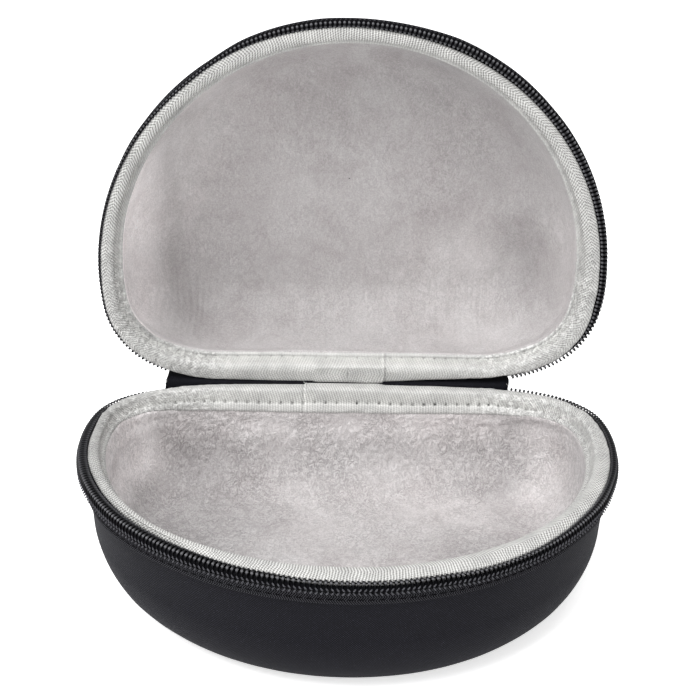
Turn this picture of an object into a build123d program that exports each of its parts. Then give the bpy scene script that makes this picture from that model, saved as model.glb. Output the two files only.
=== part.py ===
from build123d import *
import math
import os

# ----------------------------------------------------------------------------
# Hard carrying case for headphones, D-shaped in plan, two domed halves.
# Units: mm.  +Z up, -Y is the curved front, +X is right.  The origin is the
# centre of the flat face on which the base rests.  The lid stands open.
# ----------------------------------------------------------------------------

# ---- plan outline of the rim (outer edge of the binding) --------------------
# Straight rear edge, then tangent arcs round each side to the front centre.
# Each entry is (radius, heading reached at the end of the arc in degrees);
# heading 0 runs along +X at the rear, 90 runs forward at the widest point.
CORNER_R, CORNER_TO = 49.2, 28.8
SHOULDER_R, SHOULDER_TO = 30.4, 81.6
SIDE_R, SIDE_TO = 90.0, 135.0
FRONT_R, FRONT_TO = 86.1, 180.0
SIDE_FLAT = 0.2              # shortest straight run at the widest point

# ---- heights -----------------------------------------------------------------
PART_Z = 45.0                # parting plane of the two halves, above the floor
HINGE_Y = 65.0               # hinge line, behind the origin
OPEN_DEG = 86.5              # lid angle from closed, as modelled
DEPTH = 45.0                 # parting plane to the outside of the floor

# ---- laminate ----------------------------------------------------------------
T_FABRIC = 0.8               # outer woven cover
T_FOAM = 4.2                 # moulded foam
T_LINING = 0.8               # velvet lining
RIM_TOP = 1.3                # top of the laminate, below the parting plane
RIM_IN = 0.45                # outside of the cover, in from the rim outline
WALL_STRAIGHT = 9.5          # depth to which the wall is upright
CORNER_START = 21.5          # depth at which the floor corner starts
WALL_IN = 1.2                # outside of the cover there, in from the outline
REAR_IN = 0.6                # the same on the rear wall
CORNER_W = 16.8              # floor corner, sideways
REAR_CORNER_W = 7.0          # the same on the rear wall, so the flat reaches back
INNER_W = 15.5               # floor corner of the inside
LID_DRAFT = 0.17             # lean of the lid's walls, per mm of depth
LID_CORNER_W = 20.0          # rounding of the lid, sideways
LID_INNER_W = 16.0           # the same inside
LID_REAR_W = 12.0            # rounding at the lid's rear wall

# ---- rim trim ----------------------------------------------------------------
BIND_TOP = 0.5               # crest of the binding, below the parting plane
BIND_LEG = 8.0               # how far the binding reaches down inside
BIND_OUT = 1.3               # where its outer edge ends
T_BIND = 0.7
TAPE_TOP, TAPE_LOW = 1.4, 8.7
T_TAPE = 0.6
COIL_TOP, COIL_LOW = 0.3, 4.3
T_COIL = 2.2
COIL_PITCH = 1.52            # one tooth
COIL_END_X = 63.0            # the coil starts this far from the middle
TAPE_END_X = 61.0

# ---- hinge -------------------------------------------------------------------
STRIP_HALF = 60.0            # half the length of the hinge strip
STRIP_TOP, STRIP_LOW = 1.4, 17.0
T_STRIP = 0.8
TAB_HALF = 13.5              # light tab at the middle of the hinge
T_TAB = 0.4

# ---- zipper ends ---------------------------------------------------------------
TAIL_Z = 6.6                 # middle of the closed chain tail, below parting
TAIL_Y = 2.15                # tape of the tail, behind the hinge line
TAIL_X0, TAIL_X1 = 44.6, 60.4
TAIL_W = 9.6                 # width of the tail's tape
CHAIN_W, CHAIN_T = 5.4, 1.9  # closed coils
SLIDER_X = 53.6              # middle of the slider
SLIDER_L, SLIDER_W = 9.6, 8.2
SLIDER_PLATE = 1.0
SLIDER_GAP = 3.2             # between its plates
POST_X = SLIDER_X + SLIDER_L / 2 - 1.0
LEAF_Y = T_STRIP - RIM_IN    # outside of the hinge strip, behind the hinge line
BAR_L, BAR_R, BAR_H = 7.3, 0.6, 2.4
LINK_L, LINK_RO, LINK_RI, LINK_T = 5.6, 2.1, 1.2, 1.2
LINK_DROP = 0.5              # the link hangs so much below the bar's centre
PULL_L, PULL_W, PULL_T = 21.0, 6.4, 1.1

os.makedirs("parts", exist_ok=True)


def heading_sum(inset):
    """Half the straight rear edge, so that the half outline ends on the centre line."""
    total, last = 0.0, 0.0
    for r, to in ((CORNER_R, CORNER_TO), (SHOULDER_R, SHOULDER_TO), (SIDE_R, SIDE_TO), (FRONT_R, FRONT_TO)):
        total += (r - inset) * (math.sin(math.radians(to)) - math.sin(math.radians(last)))
        last = to
    return -total


REAR_HALF = heading_sum(0.0)


def section(plane, inset, rear_inset=None):
    """The plan outline on a plane, moved in by inset all round and by rear_inset at the rear."""
    rear_inset = inset if rear_inset is None else rear_inset
    flat = SIDE_FLAT + inset - rear_inset
    with BuildSketch(plane) as sk:
        with BuildLine():
            rear = Line((0, -rear_inset), (REAR_HALF, -rear_inset))
            corner = JernArc(rear @ 1, rear % 1, CORNER_R - inset, -CORNER_TO)
            shoulder = JernArc(corner @ 1, corner % 1, SHOULDER_R - inset, -(SHOULDER_TO - CORNER_TO))
            side_a = JernArc(shoulder @ 1, shoulder % 1, SIDE_R - inset, -(90 - SHOULDER_TO))
            side_line = Line(side_a @ 1, side_a @ 1 + Vector(0, -flat))
            side_b = JernArc(side_line @ 1, side_line % 1, SIDE_R - inset, -(SIDE_TO - 90))
            JernArc(side_b @ 1, side_b % 1, FRONT_R - inset, -(FRONT_TO - SIDE_TO))
            mirror(about=Plane.YZ)
        make_face()
    return sk.sketch


def rim_plane(depth=0.0, x=0.0, y=0.0):
    """The rim's drawing plane in the base, moved depth down: y = 0 on the hinge line."""
    return Plane(origin=(x, HINGE_Y + y, PART_Z - depth), x_dir=(1, 0, 0), z_dir=(0, 0, 1))


def wall_sections(skin, floor_in, corner_w, rear_w, start):
    """Insets of a shell surface from the rim to the floor: (depth, inset, rear inset)."""
    floor = DEPTH - floor_in
    rows = [
        (start, RIM_IN + skin, RIM_IN + skin),
        (WALL_STRAIGHT, RIM_IN + skin, RIM_IN + skin),
        (CORNER_START, WALL_IN + skin, REAR_IN + skin),
    ]
    for deg in (14, 28, 41, 53, 64, 74, 83, 90):
        a = math.radians(deg)
        rows.append(
            (
                CORNER_START + (floor - CORNER_START) * math.sin(a),
                WALL_IN + skin + corner_w * (1 - math.cos(a)),
                REAR_IN + skin + rear_w * (1 - math.cos(a)),
            )
        )
    return rows


def lid_sections(skin, floor_in, corner_w, rear_w, start):
    """The same for the lid, whose walls lean in and round over into the top."""
    floor = DEPTH - floor_in
    rear_rows = wall_sections(skin, floor_in, corner_w, rear_w, start)
    rear_rows.insert(2, (15.5, 0.0, RIM_IN + skin + 0.07))
    rows = []
    for depth, _, rear_inset in rear_rows:
        run = max(depth - WALL_STRAIGHT, 0.0)
        over = 1 - math.sqrt(max(0.0, 1 - (run / (floor - WALL_STRAIGHT)) ** 2))
        rows.append((depth, RIM_IN + skin + LID_DRAFT * run + corner_w * over, rear_inset))
    return rows


def shell_solid(skin, floor_in, corner_w, rear_w, start, rows_of=wall_sections):
    """The closed solid inside one surface of the shell."""
    with BuildPart() as solid:
        for depth, inset, rear_inset in rows_of(skin, floor_in, corner_w, rear_w, start):
            add(section(rim_plane(depth), inset, rear_inset))
        loft(ruled=True)
    return solid.part


def ring(out_inset, in_inset, top, low):
    """An upright band that follows the rim, between two insets and two depths."""
    with BuildPart() as band:
        add(section(rim_plane(top), out_inset))
        extrude(amount=-(low - top))
        add(section(rim_plane(top - 0.5), in_inset))
        extrude(amount=-(low - top + 1.0), mode=Mode.SUBTRACT)
    return band.part


def rear_box(half_width):
    """A block over the middle of the rear edge, used as a cutter."""
    with BuildPart() as cutter:
        with BuildSketch(rim_plane(-10.0)):
            Rectangle(2 * half_width, 30)
        extrude(amount=-40.0)
    return cutter.part


def finish(piece, name):
    piece.label = name
    export_step(piece, f"parts/{name}.step")
    print(f"{name:28s} solids {len(piece.solids())}  volume {piece.volume:10.1f}")


# The lid is the mirror image of the base about the plane through the hinge line
# that halves the angle between the two rims.
open_rad = math.radians(OPEN_DEG)
fold_plane = Plane(
    origin=(0, HINGE_Y, PART_Z),
    x_dir=(1, 0, 0),
    z_dir=(0, math.cos(open_rad) - 1, -math.sin(open_rad)),
)


def finish_pair(piece, name, lid_piece=None):
    """Write a piece of the base and its twin in the lid."""
    with BuildPart() as twin:
        mirror(lid_piece or piece, about=fold_plane)
    finish(piece, f"base_{name}")
    finish(twin.part, f"lid_{name}")


# -- moulded laminate: cover, foam and lining are nested shells ----------------
skin = T_FABRIC + T_FOAM
skin_in = RIM_IN + T_FABRIC + T_FOAM + T_LINING


def laminate(corner_w, inner_w, rear_w, inner_rear_w, rows_of):
    """Cover, foam and lining of one half."""
    foam_out = shell_solid(T_FABRIC, T_FABRIC, corner_w - 0.6, rear_w - 0.6, RIM_TOP, rows_of)
    foam_cut = shell_solid(T_FABRIC, T_FABRIC, corner_w - 0.6, rear_w - 0.6, RIM_TOP - 1.0, rows_of)
    lining_out = shell_solid(skin, skin, inner_w + 0.4, inner_rear_w + 0.5, RIM_TOP, rows_of)
    lining_cut = shell_solid(skin, skin, inner_w + 0.4, inner_rear_w + 0.5, RIM_TOP - 1.0, rows_of)
    inside = shell_solid(skin + T_LINING, skin + T_LINING, inner_w, inner_rear_w, RIM_TOP - 1.0, rows_of)

    with BuildPart() as outer_fabric:
        add(shell_solid(0.0, 0.0, corner_w, rear_w, RIM_TOP, rows_of))
        add(foam_cut, mode=Mode.SUBTRACT)

    with BuildPart() as foam_shell:
        add(foam_out)
        add(lining_cut, mode=Mode.SUBTRACT)

    with BuildPart() as lining:
        add(lining_out)
        add(inside, mode=Mode.SUBTRACT)
    return outer_fabric.part, foam_shell.part, lining.part


base_laminate = laminate(CORNER_W, INNER_W, REAR_CORNER_W, 12.5, wall_sections)
lid_laminate = laminate(LID_CORNER_W, LID_INNER_W, LID_REAR_W, 12.5, lid_sections)
for name, base_piece, lid_piece in zip(("outer_fabric", "foam_shell", "lining"), base_laminate, lid_laminate):
    finish_pair(base_piece, name, lid_piece)

# -- binding folded over the rim: crest, short outer leg, long inner leg --------
with BuildPart() as rim_binding:
    add(section(rim_plane(BIND_TOP), 0.0))
    extrude(amount=-(BIND_LEG - BIND_TOP))
    add(section(rim_plane(BIND_TOP - 0.5), skin_in + T_BIND))
    extrude(amount=-BIND_LEG, mode=Mode.SUBTRACT)
    fillet(rim_binding.edges().group_by(Axis.Z)[-1], radius=0.75)
    # room for the laminate
    add(ring(RIM_IN, skin_in, RIM_TOP, BIND_LEG + 1.0), mode=Mode.SUBTRACT)
    # the outer leg ends above the tape
    add(ring(-1.0, RIM_IN + 0.001, BIND_OUT, BIND_LEG + 1.0), mode=Mode.SUBTRACT)
finish_pair(rim_binding.part, "rim_binding")

with BuildPart() as binding_thread:
    add(ring(skin_in + T_BIND, skin_in + T_BIND + 0.3, 6.0, 6.4))
finish_pair(binding_thread.part, "binding_seam_thread")

# -- zipper half: tape, coil with its cord, and the threads ----------------------
tape_face = RIM_IN - T_TAPE
with BuildPart() as zipper_tape:
    add(ring(tape_face, RIM_IN, TAPE_TOP, TAPE_LOW))
    add(rear_box(TAPE_END_X), mode=Mode.SUBTRACT)
finish_pair(zipper_tape.part, "zipper_tape")

with BuildPart() as zipper_coil:
    add(ring(tape_face - T_COIL, tape_face, COIL_TOP, COIL_LOW))
    add(ring(tape_face - 1.55, tape_face - 0.65, 1.7, 3.3), mode=Mode.SUBTRACT)
    add(rear_box(COIL_END_X), mode=Mode.SUBTRACT)
finish_pair(zipper_coil.part, "zipper_coil")

with BuildPart() as coil_cord:
    add(ring(tape_face - 1.55, tape_face - 0.65, 1.7, 3.3))
    add(rear_box(COIL_END_X), mode=Mode.SUBTRACT)
finish_pair(coil_cord.part, "coil_cord")

with BuildPart() as coil_thread:
    add(ring(tape_face - T_COIL - 0.25, tape_face - T_COIL, 2.0, 2.4))
    add(ring(tape_face - T_COIL - 0.25, tape_face - T_COIL, 3.3, 3.7))
    add(rear_box(COIL_END_X), mode=Mode.SUBTRACT)
finish_pair(coil_thread.part, "coil_thread")

with BuildPart() as tape_thread:
    add(ring(tape_face - 0.25, tape_face, 7.4, 7.8))
    add(rear_box(TAPE_END_X), mode=Mode.SUBTRACT)
finish_pair(tape_thread.part, "tape_seam_thread")

# -- hinge strip leaf, sewn over the rear wall, and the light tab ----------------
with BuildPart() as hinge_leaf:
    add(ring(RIM_IN - T_STRIP, RIM_IN, STRIP_TOP, WALL_STRAIGHT))
    add(ring(RIM_IN - T_STRIP, RIM_IN, WALL_STRAIGHT, STRIP_LOW))
    add(rear_box(STRIP_HALF), mode=Mode.INTERSECT)
finish_pair(hinge_leaf.part, "hinge_leaf")

with BuildPart() as hinge_tab:
    with BuildSketch(rim_plane(BIND_TOP - T_TAB, y=-3.4)):
        Rectangle(2 * TAB_HALF, 5.4)
    extrude(amount=-T_TAB)
finish_pair(hinge_tab.part, "hinge_tab")

# ----------------------------------------------------------------------------
# Zipper ends: on each side the chain ends in a short closed tail that lies
# flat behind the hinge strip of the base, with a stop, and the slider is
# parked on it.  The rear face is the local drawing plane: x along the chain
# (away from the middle), y up, z backwards.
# ----------------------------------------------------------------------------
for side, s in (("left", -1), ("right", 1)):

    def rear(x, y_back, below, side_sign=s):
        """Plane that faces backwards (+Y), x to the outside of this end, y up."""
        return Plane(
            origin=(side_sign * x, HINGE_Y + y_back, PART_Z - below),
            x_dir=(-1, 0, 0),
            z_dir=(0, 1, 0),
        )

    mid_x = (TAIL_X0 + TAIL_X1) / 2
    with BuildPart() as tail_tape:
        with BuildSketch(rear(mid_x, TAIL_Y, TAIL_Z)):
            Rectangle(TAIL_X1 - TAIL_X0, TAIL_W)
        extrude(amount=0.5)
        # the two half tapes part at the slider's post
        with BuildSketch(rear((POST_X + TAIL_X1) / 2, TAIL_Y, TAIL_Z)):
            Rectangle(TAIL_X1 - POST_X + 2.6, 2.8)
        extrude(amount=0.5, mode=Mode.SUBTRACT)
    finish(tail_tape.part, f"{side}_tail_tape")

    chain_x0, chain_x1 = TAIL_X0 + 2.0, POST_X - 1.2
    with BuildPart() as tail_chain:
        with BuildSketch(rear((chain_x0 + chain_x1) / 2, TAIL_Y + 0.5, TAIL_Z)):
            Rectangle(chain_x1 - chain_x0, CHAIN_W)
        extrude(amount=CHAIN_T)
        fillet(tail_chain.edges().filter_by(Axis.X), radius=0.6)
    finish(tail_chain.part, f"{side}_tail_chain")

    # U-shaped stop crimped over the end of the chain, standing on the leaf
    stop_top = TAIL_Y + 0.5 + CHAIN_T + 0.8
    with BuildPart() as end_stop:
        with BuildSketch(rear(TAIL_X0 + 0.2, LEAF_Y, TAIL_Z)):
            Rectangle(2.4, 7.4)
        extrude(amount=stop_top - LEAF_Y)
        fillet(end_stop.edges().filter_by(Axis.Y), radius=0.7)
        with BuildSketch(rear(TAIL_X0 + 1.0, TAIL_Y, TAIL_Z)):
            Rectangle(2.0, TAIL_W + 2)
        extrude(amount=0.5, mode=Mode.SUBTRACT)
    finish(end_stop.part, f"{side}_end_stop")

    # Slider: two plates joined by the post at the outer mouth, with side
    # flanges that leave a slot for the tape, and a bridge for the pull.
    gap_y = TAIL_Y - 0.15                      # outside of the back plate
    front_y = gap_y + SLIDER_GAP - 0.2         # back of the front plate
    top_y = front_y + SLIDER_PLATE
    bar_y = top_y + BAR_H
    with BuildPart() as slider_body:
        with BuildSketch(rear(SLIDER_X, gap_y - SLIDER_PLATE, TAIL_Z)):
            RectangleRounded(SLIDER_L, SLIDER_W, 1.8)
        extrude(amount=SLIDER_PLATE)
        with BuildSketch(rear(SLIDER_X, front_y, TAIL_Z)):
            RectangleRounded(SLIDER_L, SLIDER_W, 1.8)
        extrude(amount=SLIDER_PLATE)
        # flanges of the front plate, down to just above the tape
        with BuildSketch(rear(SLIDER_X, gap_y + 0.85, TAIL_Z)):
            with Locations((0, SLIDER_W / 2 - 0.45), (0, -SLIDER_W / 2 + 0.45)):
                Rectangle(SLIDER_L - 3.8, 0.8)
        extrude(amount=front_y - gap_y - 0.85)
        # post between the two mouths, at the outer end
        with BuildSketch(rear(POST_X, gap_y, TAIL_Z)):
            Rectangle(1.6, 2.2)
        extrude(amount=front_y - gap_y)
        # bridge: two feet and a round bar along the chain
        with BuildSketch(rear(SLIDER_X, top_y, TAIL_Z)):
            with Locations((BAR_L / 2 - 0.65, 0), (-BAR_L / 2 + 0.65, 0)):
                Rectangle(1.3, 1.6)
        extrude(amount=BAR_H)
        with BuildSketch(Plane(origin=(s * SLIDER_X - BAR_L / 2, HINGE_Y + bar_y, PART_Z - TAIL_Z), z_dir=(1, 0, 0))):
            Circle(BAR_R)
        extrude(amount=BAR_L)
    finish(slider_body.part, f"{side}_slider_body")

    # Link: an oval ring that hangs on the bar
    ring_x = s * SLIDER_X - LINK_T / 2
    low_centre = TAIL_Z + LINK_DROP + LINK_L
    with BuildPart() as pull_link:
        with BuildSketch(Plane(origin=(ring_x, HINGE_Y + bar_y, PART_Z - low_centre + LINK_L / 2), x_dir=(0, 1, 0), z_dir=(1, 0, 0))):
            SlotCenterToCenter(LINK_L, 2 * LINK_RO, rotation=90)
            SlotCenterToCenter(LINK_L, 2 * LINK_RI, rotation=90, mode=Mode.SUBTRACT)
        extrude(amount=LINK_T)
    finish(pull_link.part, f"{side}_pull_link")

    # Pull tab: a flat plate that hangs on the link by its eye
    tab_top = low_centre - 0.25
    eye_top, eye_h = low_centre + 0.95, 1.6
    with BuildPart() as pull_tab:
        with BuildSketch(rear(SLIDER_X, bar_y - PULL_T / 2, tab_top + PULL_L / 2)):
            RectangleRounded(PULL_W, PULL_L, 2.0)
        extrude(amount=PULL_T)
        with BuildSketch(rear(SLIDER_X, bar_y - PULL_T, eye_top + eye_h / 2)):
            RectangleRounded(2.8, eye_h, 0.4)
        extrude(amount=2 * PULL_T, mode=Mode.SUBTRACT)
        # grip slot near the free end
        with BuildSketch(rear(SLIDER_X, bar_y - PULL_T, tab_top + PULL_L - 6.2)):
            SlotOverall(7.0, 2.4, rotation=90)
        extrude(amount=2 * PULL_T, mode=Mode.SUBTRACT)
    finish(pull_tab.part, f"{side}_pull_tab")
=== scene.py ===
import math

import bpy
import numpy as np
from mathutils import Matrix, Vector


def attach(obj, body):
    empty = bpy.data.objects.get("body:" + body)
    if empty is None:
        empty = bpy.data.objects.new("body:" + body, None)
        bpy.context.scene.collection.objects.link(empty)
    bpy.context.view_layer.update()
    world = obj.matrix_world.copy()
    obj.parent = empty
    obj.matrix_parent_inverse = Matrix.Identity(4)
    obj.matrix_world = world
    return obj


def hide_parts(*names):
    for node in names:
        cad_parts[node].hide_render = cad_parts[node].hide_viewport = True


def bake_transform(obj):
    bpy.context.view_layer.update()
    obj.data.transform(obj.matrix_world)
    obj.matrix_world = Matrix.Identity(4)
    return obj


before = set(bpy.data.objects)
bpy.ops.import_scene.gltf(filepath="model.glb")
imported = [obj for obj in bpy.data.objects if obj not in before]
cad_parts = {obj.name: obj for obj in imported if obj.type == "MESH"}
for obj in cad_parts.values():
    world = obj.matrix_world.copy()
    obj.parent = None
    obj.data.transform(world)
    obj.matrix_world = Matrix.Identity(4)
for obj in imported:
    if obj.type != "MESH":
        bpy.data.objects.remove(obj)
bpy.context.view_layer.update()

# =============================================================================
# Sizes, in millimetres.  A half is drawn in its own frame: x to the right,
# y = 0 on the hinge line and negative towards the curved front, d = depth
# below the parting plane.  place() takes it to the base or to the open lid.
# =============================================================================
PART_Z, HINGE_Y, OPEN_DEG, DEPTH = 45.0, 65.0, 86.5, 45.0
ARCS = ((86.1, 45.0), (90.0, 45.0), (0.0, 0.2), (90.0, 8.4), (30.4, 52.8), (49.2, 28.8))
PITCH = 1.52
STRIP_HALF = 60.0
TH = math.radians(OPEN_DEG)


def place(p, half):
    """Half-frame points in mm to the row frame in metres."""
    p = np.asarray(p, float)
    x, y, d = p[..., 0], p[..., 1], p[..., 2]
    if half == "base":
        q = np.stack([x, HINGE_Y + y, PART_Z - d], -1)
    else:
        q = np.stack([x, HINGE_Y + y * math.cos(TH) + d * math.sin(TH), PART_Z - y * math.sin(TH) + d * math.cos(TH)], -1)
    return q * 0.001


# ---- plan outline by arc length from the front centre ------------------------
def _outline_table():
    rows, x, y, phi, s = [], 0.0, 0.0, 0.0, 0.0
    for r, a in ARCS:
        if r == 0.0:
            rows.append((s, s + a, x, y, phi, 0.0))
            x, y, s = x + a * math.cos(phi), y + a * math.sin(phi), s + a
        else:
            t = math.radians(a)
            rows.append((s, s + r * t, x, y, phi, r))
            x += r * (math.sin(phi + t) - math.sin(phi))
            y += r * (math.cos(phi) - math.cos(phi + t))
            phi, s = phi + t, s + r * t
    rows.append((s, s + x, x, y, phi, 0.0))
    return rows, s + x, y


_ROWS, HALF_LEN, PLAN_D = _outline_table()


def outline(s):
    """Position and outward normal of the plan outline at arc length s (mm)."""
    s = np.asarray(s, float)
    a = np.abs(s)
    x, y, phi = np.zeros_like(a), np.zeros_like(a), np.zeros_like(a)
    for k, (s0, s1, x0, y0, p0, r) in enumerate(_ROWS):
        m = (a >= s0) & ((a <= s1) | (k == len(_ROWS) - 1))
        if r == 0.0:
            x[m], y[m], phi[m] = x0 + (a[m] - s0) * math.cos(p0), y0 + (a[m] - s0) * math.sin(p0), p0
        else:
            ph = p0 + (a[m] - s0) / r
            x[m], y[m], phi[m] = x0 + r * (np.sin(ph) - math.sin(p0)), y0 + r * (math.cos(p0) - np.cos(ph)), ph
    sign = np.where(s < 0, -1.0, 1.0)
    return x * sign, y - PLAN_D, np.sin(phi) * sign, -np.cos(phi)


def at(s, n, d):
    """Half-frame points: n mm outward of the outline at s, d mm deep."""
    x, y, nx, ny = outline(s)
    return np.stack([x + nx * n, y + ny * n, np.broadcast_to(d, np.shape(x)) * 1.0], -1)


def table(s, pairs):
    """Smooth interpolation of (s, value) pairs; they go once round the rim."""
    period = 2 * HALF_LEN
    xs = np.array([p[0] for p in pairs], float)
    ys = np.array([p[1] for p in pairs], float)
    xs = np.concatenate([xs - period, xs, xs + period])
    ys = np.concatenate([ys, ys, ys])
    step = np.diff(xs)
    rise = np.diff(ys) / step
    slope = np.zeros_like(ys)
    same = rise[:-1] * rise[1:] > 0
    slope[1:-1][same] = (2 * rise[:-1] * rise[1:] / (rise[:-1] + rise[1:] + 1e-12))[same]
    i = np.clip(np.searchsorted(xs, s) - 1, 0, len(xs) - 2)
    h = step[i]
    t = (s - xs[i]) / h
    return (ys[i] * (1 + 2 * t) * (1 - t) ** 2 + slope[i] * h * t * (1 - t) ** 2 + ys[i + 1] * t * t * (3 - 2 * t) + slope[i + 1] * h * t * t * (t - 1))


# ---- seeded gradient noise -----------------------------------------------------
_rng = np.random.default_rng(7)
_PERM = _rng.permutation(256)
_PERM = np.concatenate([_PERM, _PERM, _PERM])
_GRAD = _rng.normal(size=(256, 3))
_GRAD /= np.linalg.norm(_GRAD, axis=1)[:, None]


def noise(p, scale, seed=0):
    """Perlin noise, about -1..1, of points (n,3) in mm; scale is the cell in mm."""
    q = np.asarray(p, float) / scale + 37.17 * (seed + 1)
    i = np.floor(q).astype(int)
    f = q - i
    u = f * f * f * (f * (f * 6 - 15) + 10)
    out = 0.0
    for dx in (0, 1):
        for dy in (0, 1):
            for dz in (0, 1):
                h = _PERM[(_PERM[(_PERM[(i[..., 0] + dx) % 256] + i[..., 1] + dy) % 256] + i[..., 2] + dz) % 256]
                g = _GRAD[h]
                dot = g[..., 0] * (f[..., 0] - dx) + g[..., 1] * (f[..., 1] - dy) + g[..., 2] * (f[..., 2] - dz)
                w = (u[..., 0] if dx else 1 - u[..., 0]) * (u[..., 1] if dy else 1 - u[..., 1]) * (u[..., 2] if dz else 1 - u[..., 2])
                out = out + w * dot
    return out * 1.6


def fbm(p, scale, octaves=3, seed=0):
    total, amp = 0.0, 1.0
    for k in range(octaves):
        total = total + amp * noise(p, scale / 2**k, seed + 11 * k)
        amp *= 0.5
    return total


# =============================================================================
# Mesh helpers
# =============================================================================
def new_mesh(name, verts, faces, uv=None, smooth=True, zone=None, tone=None, soft=None):
    me = bpy.data.meshes.new(name)
    me.from_pydata([tuple(v) for v in np.asarray(verts, float)], [], [tuple(int(i) for i in f) for f in faces])
    if uv is not None:
        layer = me.uv_layers.new(name="mm")
        loops = np.zeros(len(me.loops), int)
        me.loops.foreach_get("vertex_index", loops)
        flat = np.asarray(uv(loops, me) if callable(uv) else np.asarray(uv)[loops], np.float32)
        layer.uv.foreach_set("vector", flat.ravel())
    if zone is not None:
        layer = me.uv_layers.new(name="zone")
        loops = np.zeros(len(me.loops), int)
        me.loops.foreach_get("vertex_index", loops)
        layer.uv.foreach_set("vector", np.asarray(zone, np.float32)[loops].ravel())
    if tone is not None:
        me.attributes.new("tone", "FLOAT", "POINT").data.foreach_set("value", np.asarray(tone, np.float32).ravel())
    if soft is not None:
        me.attributes.new("soft", "FLOAT", "POINT").data.foreach_set("value", np.asarray(soft, np.float32).ravel())
    me.polygons.foreach_set("use_smooth", [smooth] * len(me.polygons))
    me.update()
    ob = bpy.data.objects.new(name, me)
    bpy.context.scene.collection.objects.link(ob)
    return ob


def grid_faces(nu, nv, wrap_u=False, wrap_v=False, flip=False):
    """Quads of a grid whose vertex (i, j) has index i * nv + j."""
    iu = np.arange(nu if wrap_u else nu - 1)
    jv = np.arange(nv if wrap_v else nv - 1)
    i, j = np.meshgrid(iu, jv, indexing="ij")
    a = i * nv + j
    b = ((i + 1) % nu) * nv + j
    c = ((i + 1) % nu) * nv + (j + 1) % nv
    d = i * nv + (j + 1) % nv
    f = np.stack([a, b, c, d], -1).reshape(-1, 4)
    return f[:, ::-1] if flip else f


def grid_object(name, P, uvs, wrap_u=False, wrap_v=False, flip=False, zone=None, tone=None, soft=None):
    """P is (nu, nv, 3) in metres; uvs (nu, nv, 2) in mm."""
    nu, nv = P.shape[:2]
    faces = grid_faces(nu, nv, wrap_u, wrap_v, flip)
    flat = uvs.reshape(-1, 2)
    per = np.array([uvs[-1, 0, 0] + (uvs[1, 0, 0] - uvs[0, 0, 0]) - uvs[0, 0, 0], 0.0])

    def corner_uv(loops, me):
        out = flat[loops].copy()
        if wrap_u:
            q = out.reshape(-1, 4, 2)
            rows = (loops // nv).reshape(-1, 4)
            seam = rows.max(1) - rows.min(1) > 1
            low = rows == 0
            q[seam[:, None] & low] += per
            out = q.reshape(-1, 2)
        return out

    return new_mesh(name, P.reshape(-1, 3), faces, corner_uv, zone=None if zone is None else zone.reshape(-1, 2), tone=tone, soft=soft)


def catmull(points, n):
    """n points, evenly spaced by length, on a smooth open curve through points (k, dim)."""
    p = np.asarray(points, float)
    p = np.concatenate([2 * p[:1] - p[1:2], p, 2 * p[-1:] - p[-2:-1]])
    out = []
    for i in range(1, len(p) - 2):
        t = np.linspace(0, 1, 24, endpoint=False)[:, None]
        a, b, c, d = p[i - 1], p[i], p[i + 1], p[i + 2]
        out.append(0.5 * (2 * b + (c - a) * t + (2 * a - 5 * b + 4 * c - d) * t**2 + (3 * b - a - 3 * c + d) * t**3))
    out.append(p[-2][None])
    q = np.concatenate(out)
    l = np.concatenate([[0], np.cumsum(np.linalg.norm(np.diff(q, axis=0), axis=1))])
    want = np.linspace(0, l[-1], n)
    return np.stack([np.interp(want, l, q[:, k]) for k in range(q.shape[1])], -1)


def tube(path, side, ra, rb, sides, closed=False):
    """A swept tube. path (n,3); side (n,3) roughly across it; ra, rb half widths along side and across."""
    n = len(path)
    T = np.gradient(path, axis=0) if not closed else np.roll(path, -1, 0) - np.roll(path, 1, 0)
    T /= np.linalg.norm(T, axis=1)[:, None]
    S = side - (side * T).sum(1)[:, None] * T
    S /= np.linalg.norm(S, axis=1)[:, None]
    N = np.cross(T, S)
    phi = np.linspace(0, 2 * math.pi, sides, endpoint=False)
    ra, rb = np.broadcast_to(ra, n), np.broadcast_to(rb, n)
    ring = path[:, None] + S[:, None] * (ra[:, None, None] * np.cos(phi)[None, :, None]) + N[:, None] * (rb[:, None, None] * np.sin(phi)[None, :, None])
    verts = ring.reshape(-1, 3)
    faces = [tuple(f) for f in grid_faces(n, sides, wrap_u=closed, wrap_v=True)]
    if not closed:
        faces.append(tuple(range(sides)))
        faces.append(tuple((n - 1) * sides + k for k in range(sides - 1, -1, -1)))
    return verts, faces


def merge(parts):
    V, F, off = [], [], 0
    for v, f in parts:
        V.append(v)
        F += [tuple(int(i) + off for i in q) for q in f]
        off += len(v)
    return np.concatenate(V), F


def capsule(a, b, up, r_across, r_up, n=6, m=5):
    """Short stitch from a to b, bulging towards up."""
    t = np.linspace(0, 1, m)
    path = a[None] * (1 - t[:, None]) + b[None] * t[:, None]
    path = path + up[None] * (r_up * 0.7 * np.sin(math.pi * t))[:, None]
    w = np.sqrt(np.maximum(0.05, 1 - (2 * t - 1) ** 4))
    side = np.cross(b - a, up)
    side = np.broadcast_to(side / (np.linalg.norm(side) + 1e-12), path.shape)
    return tube(path, side, r_across * w, r_up * w, n)


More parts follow.
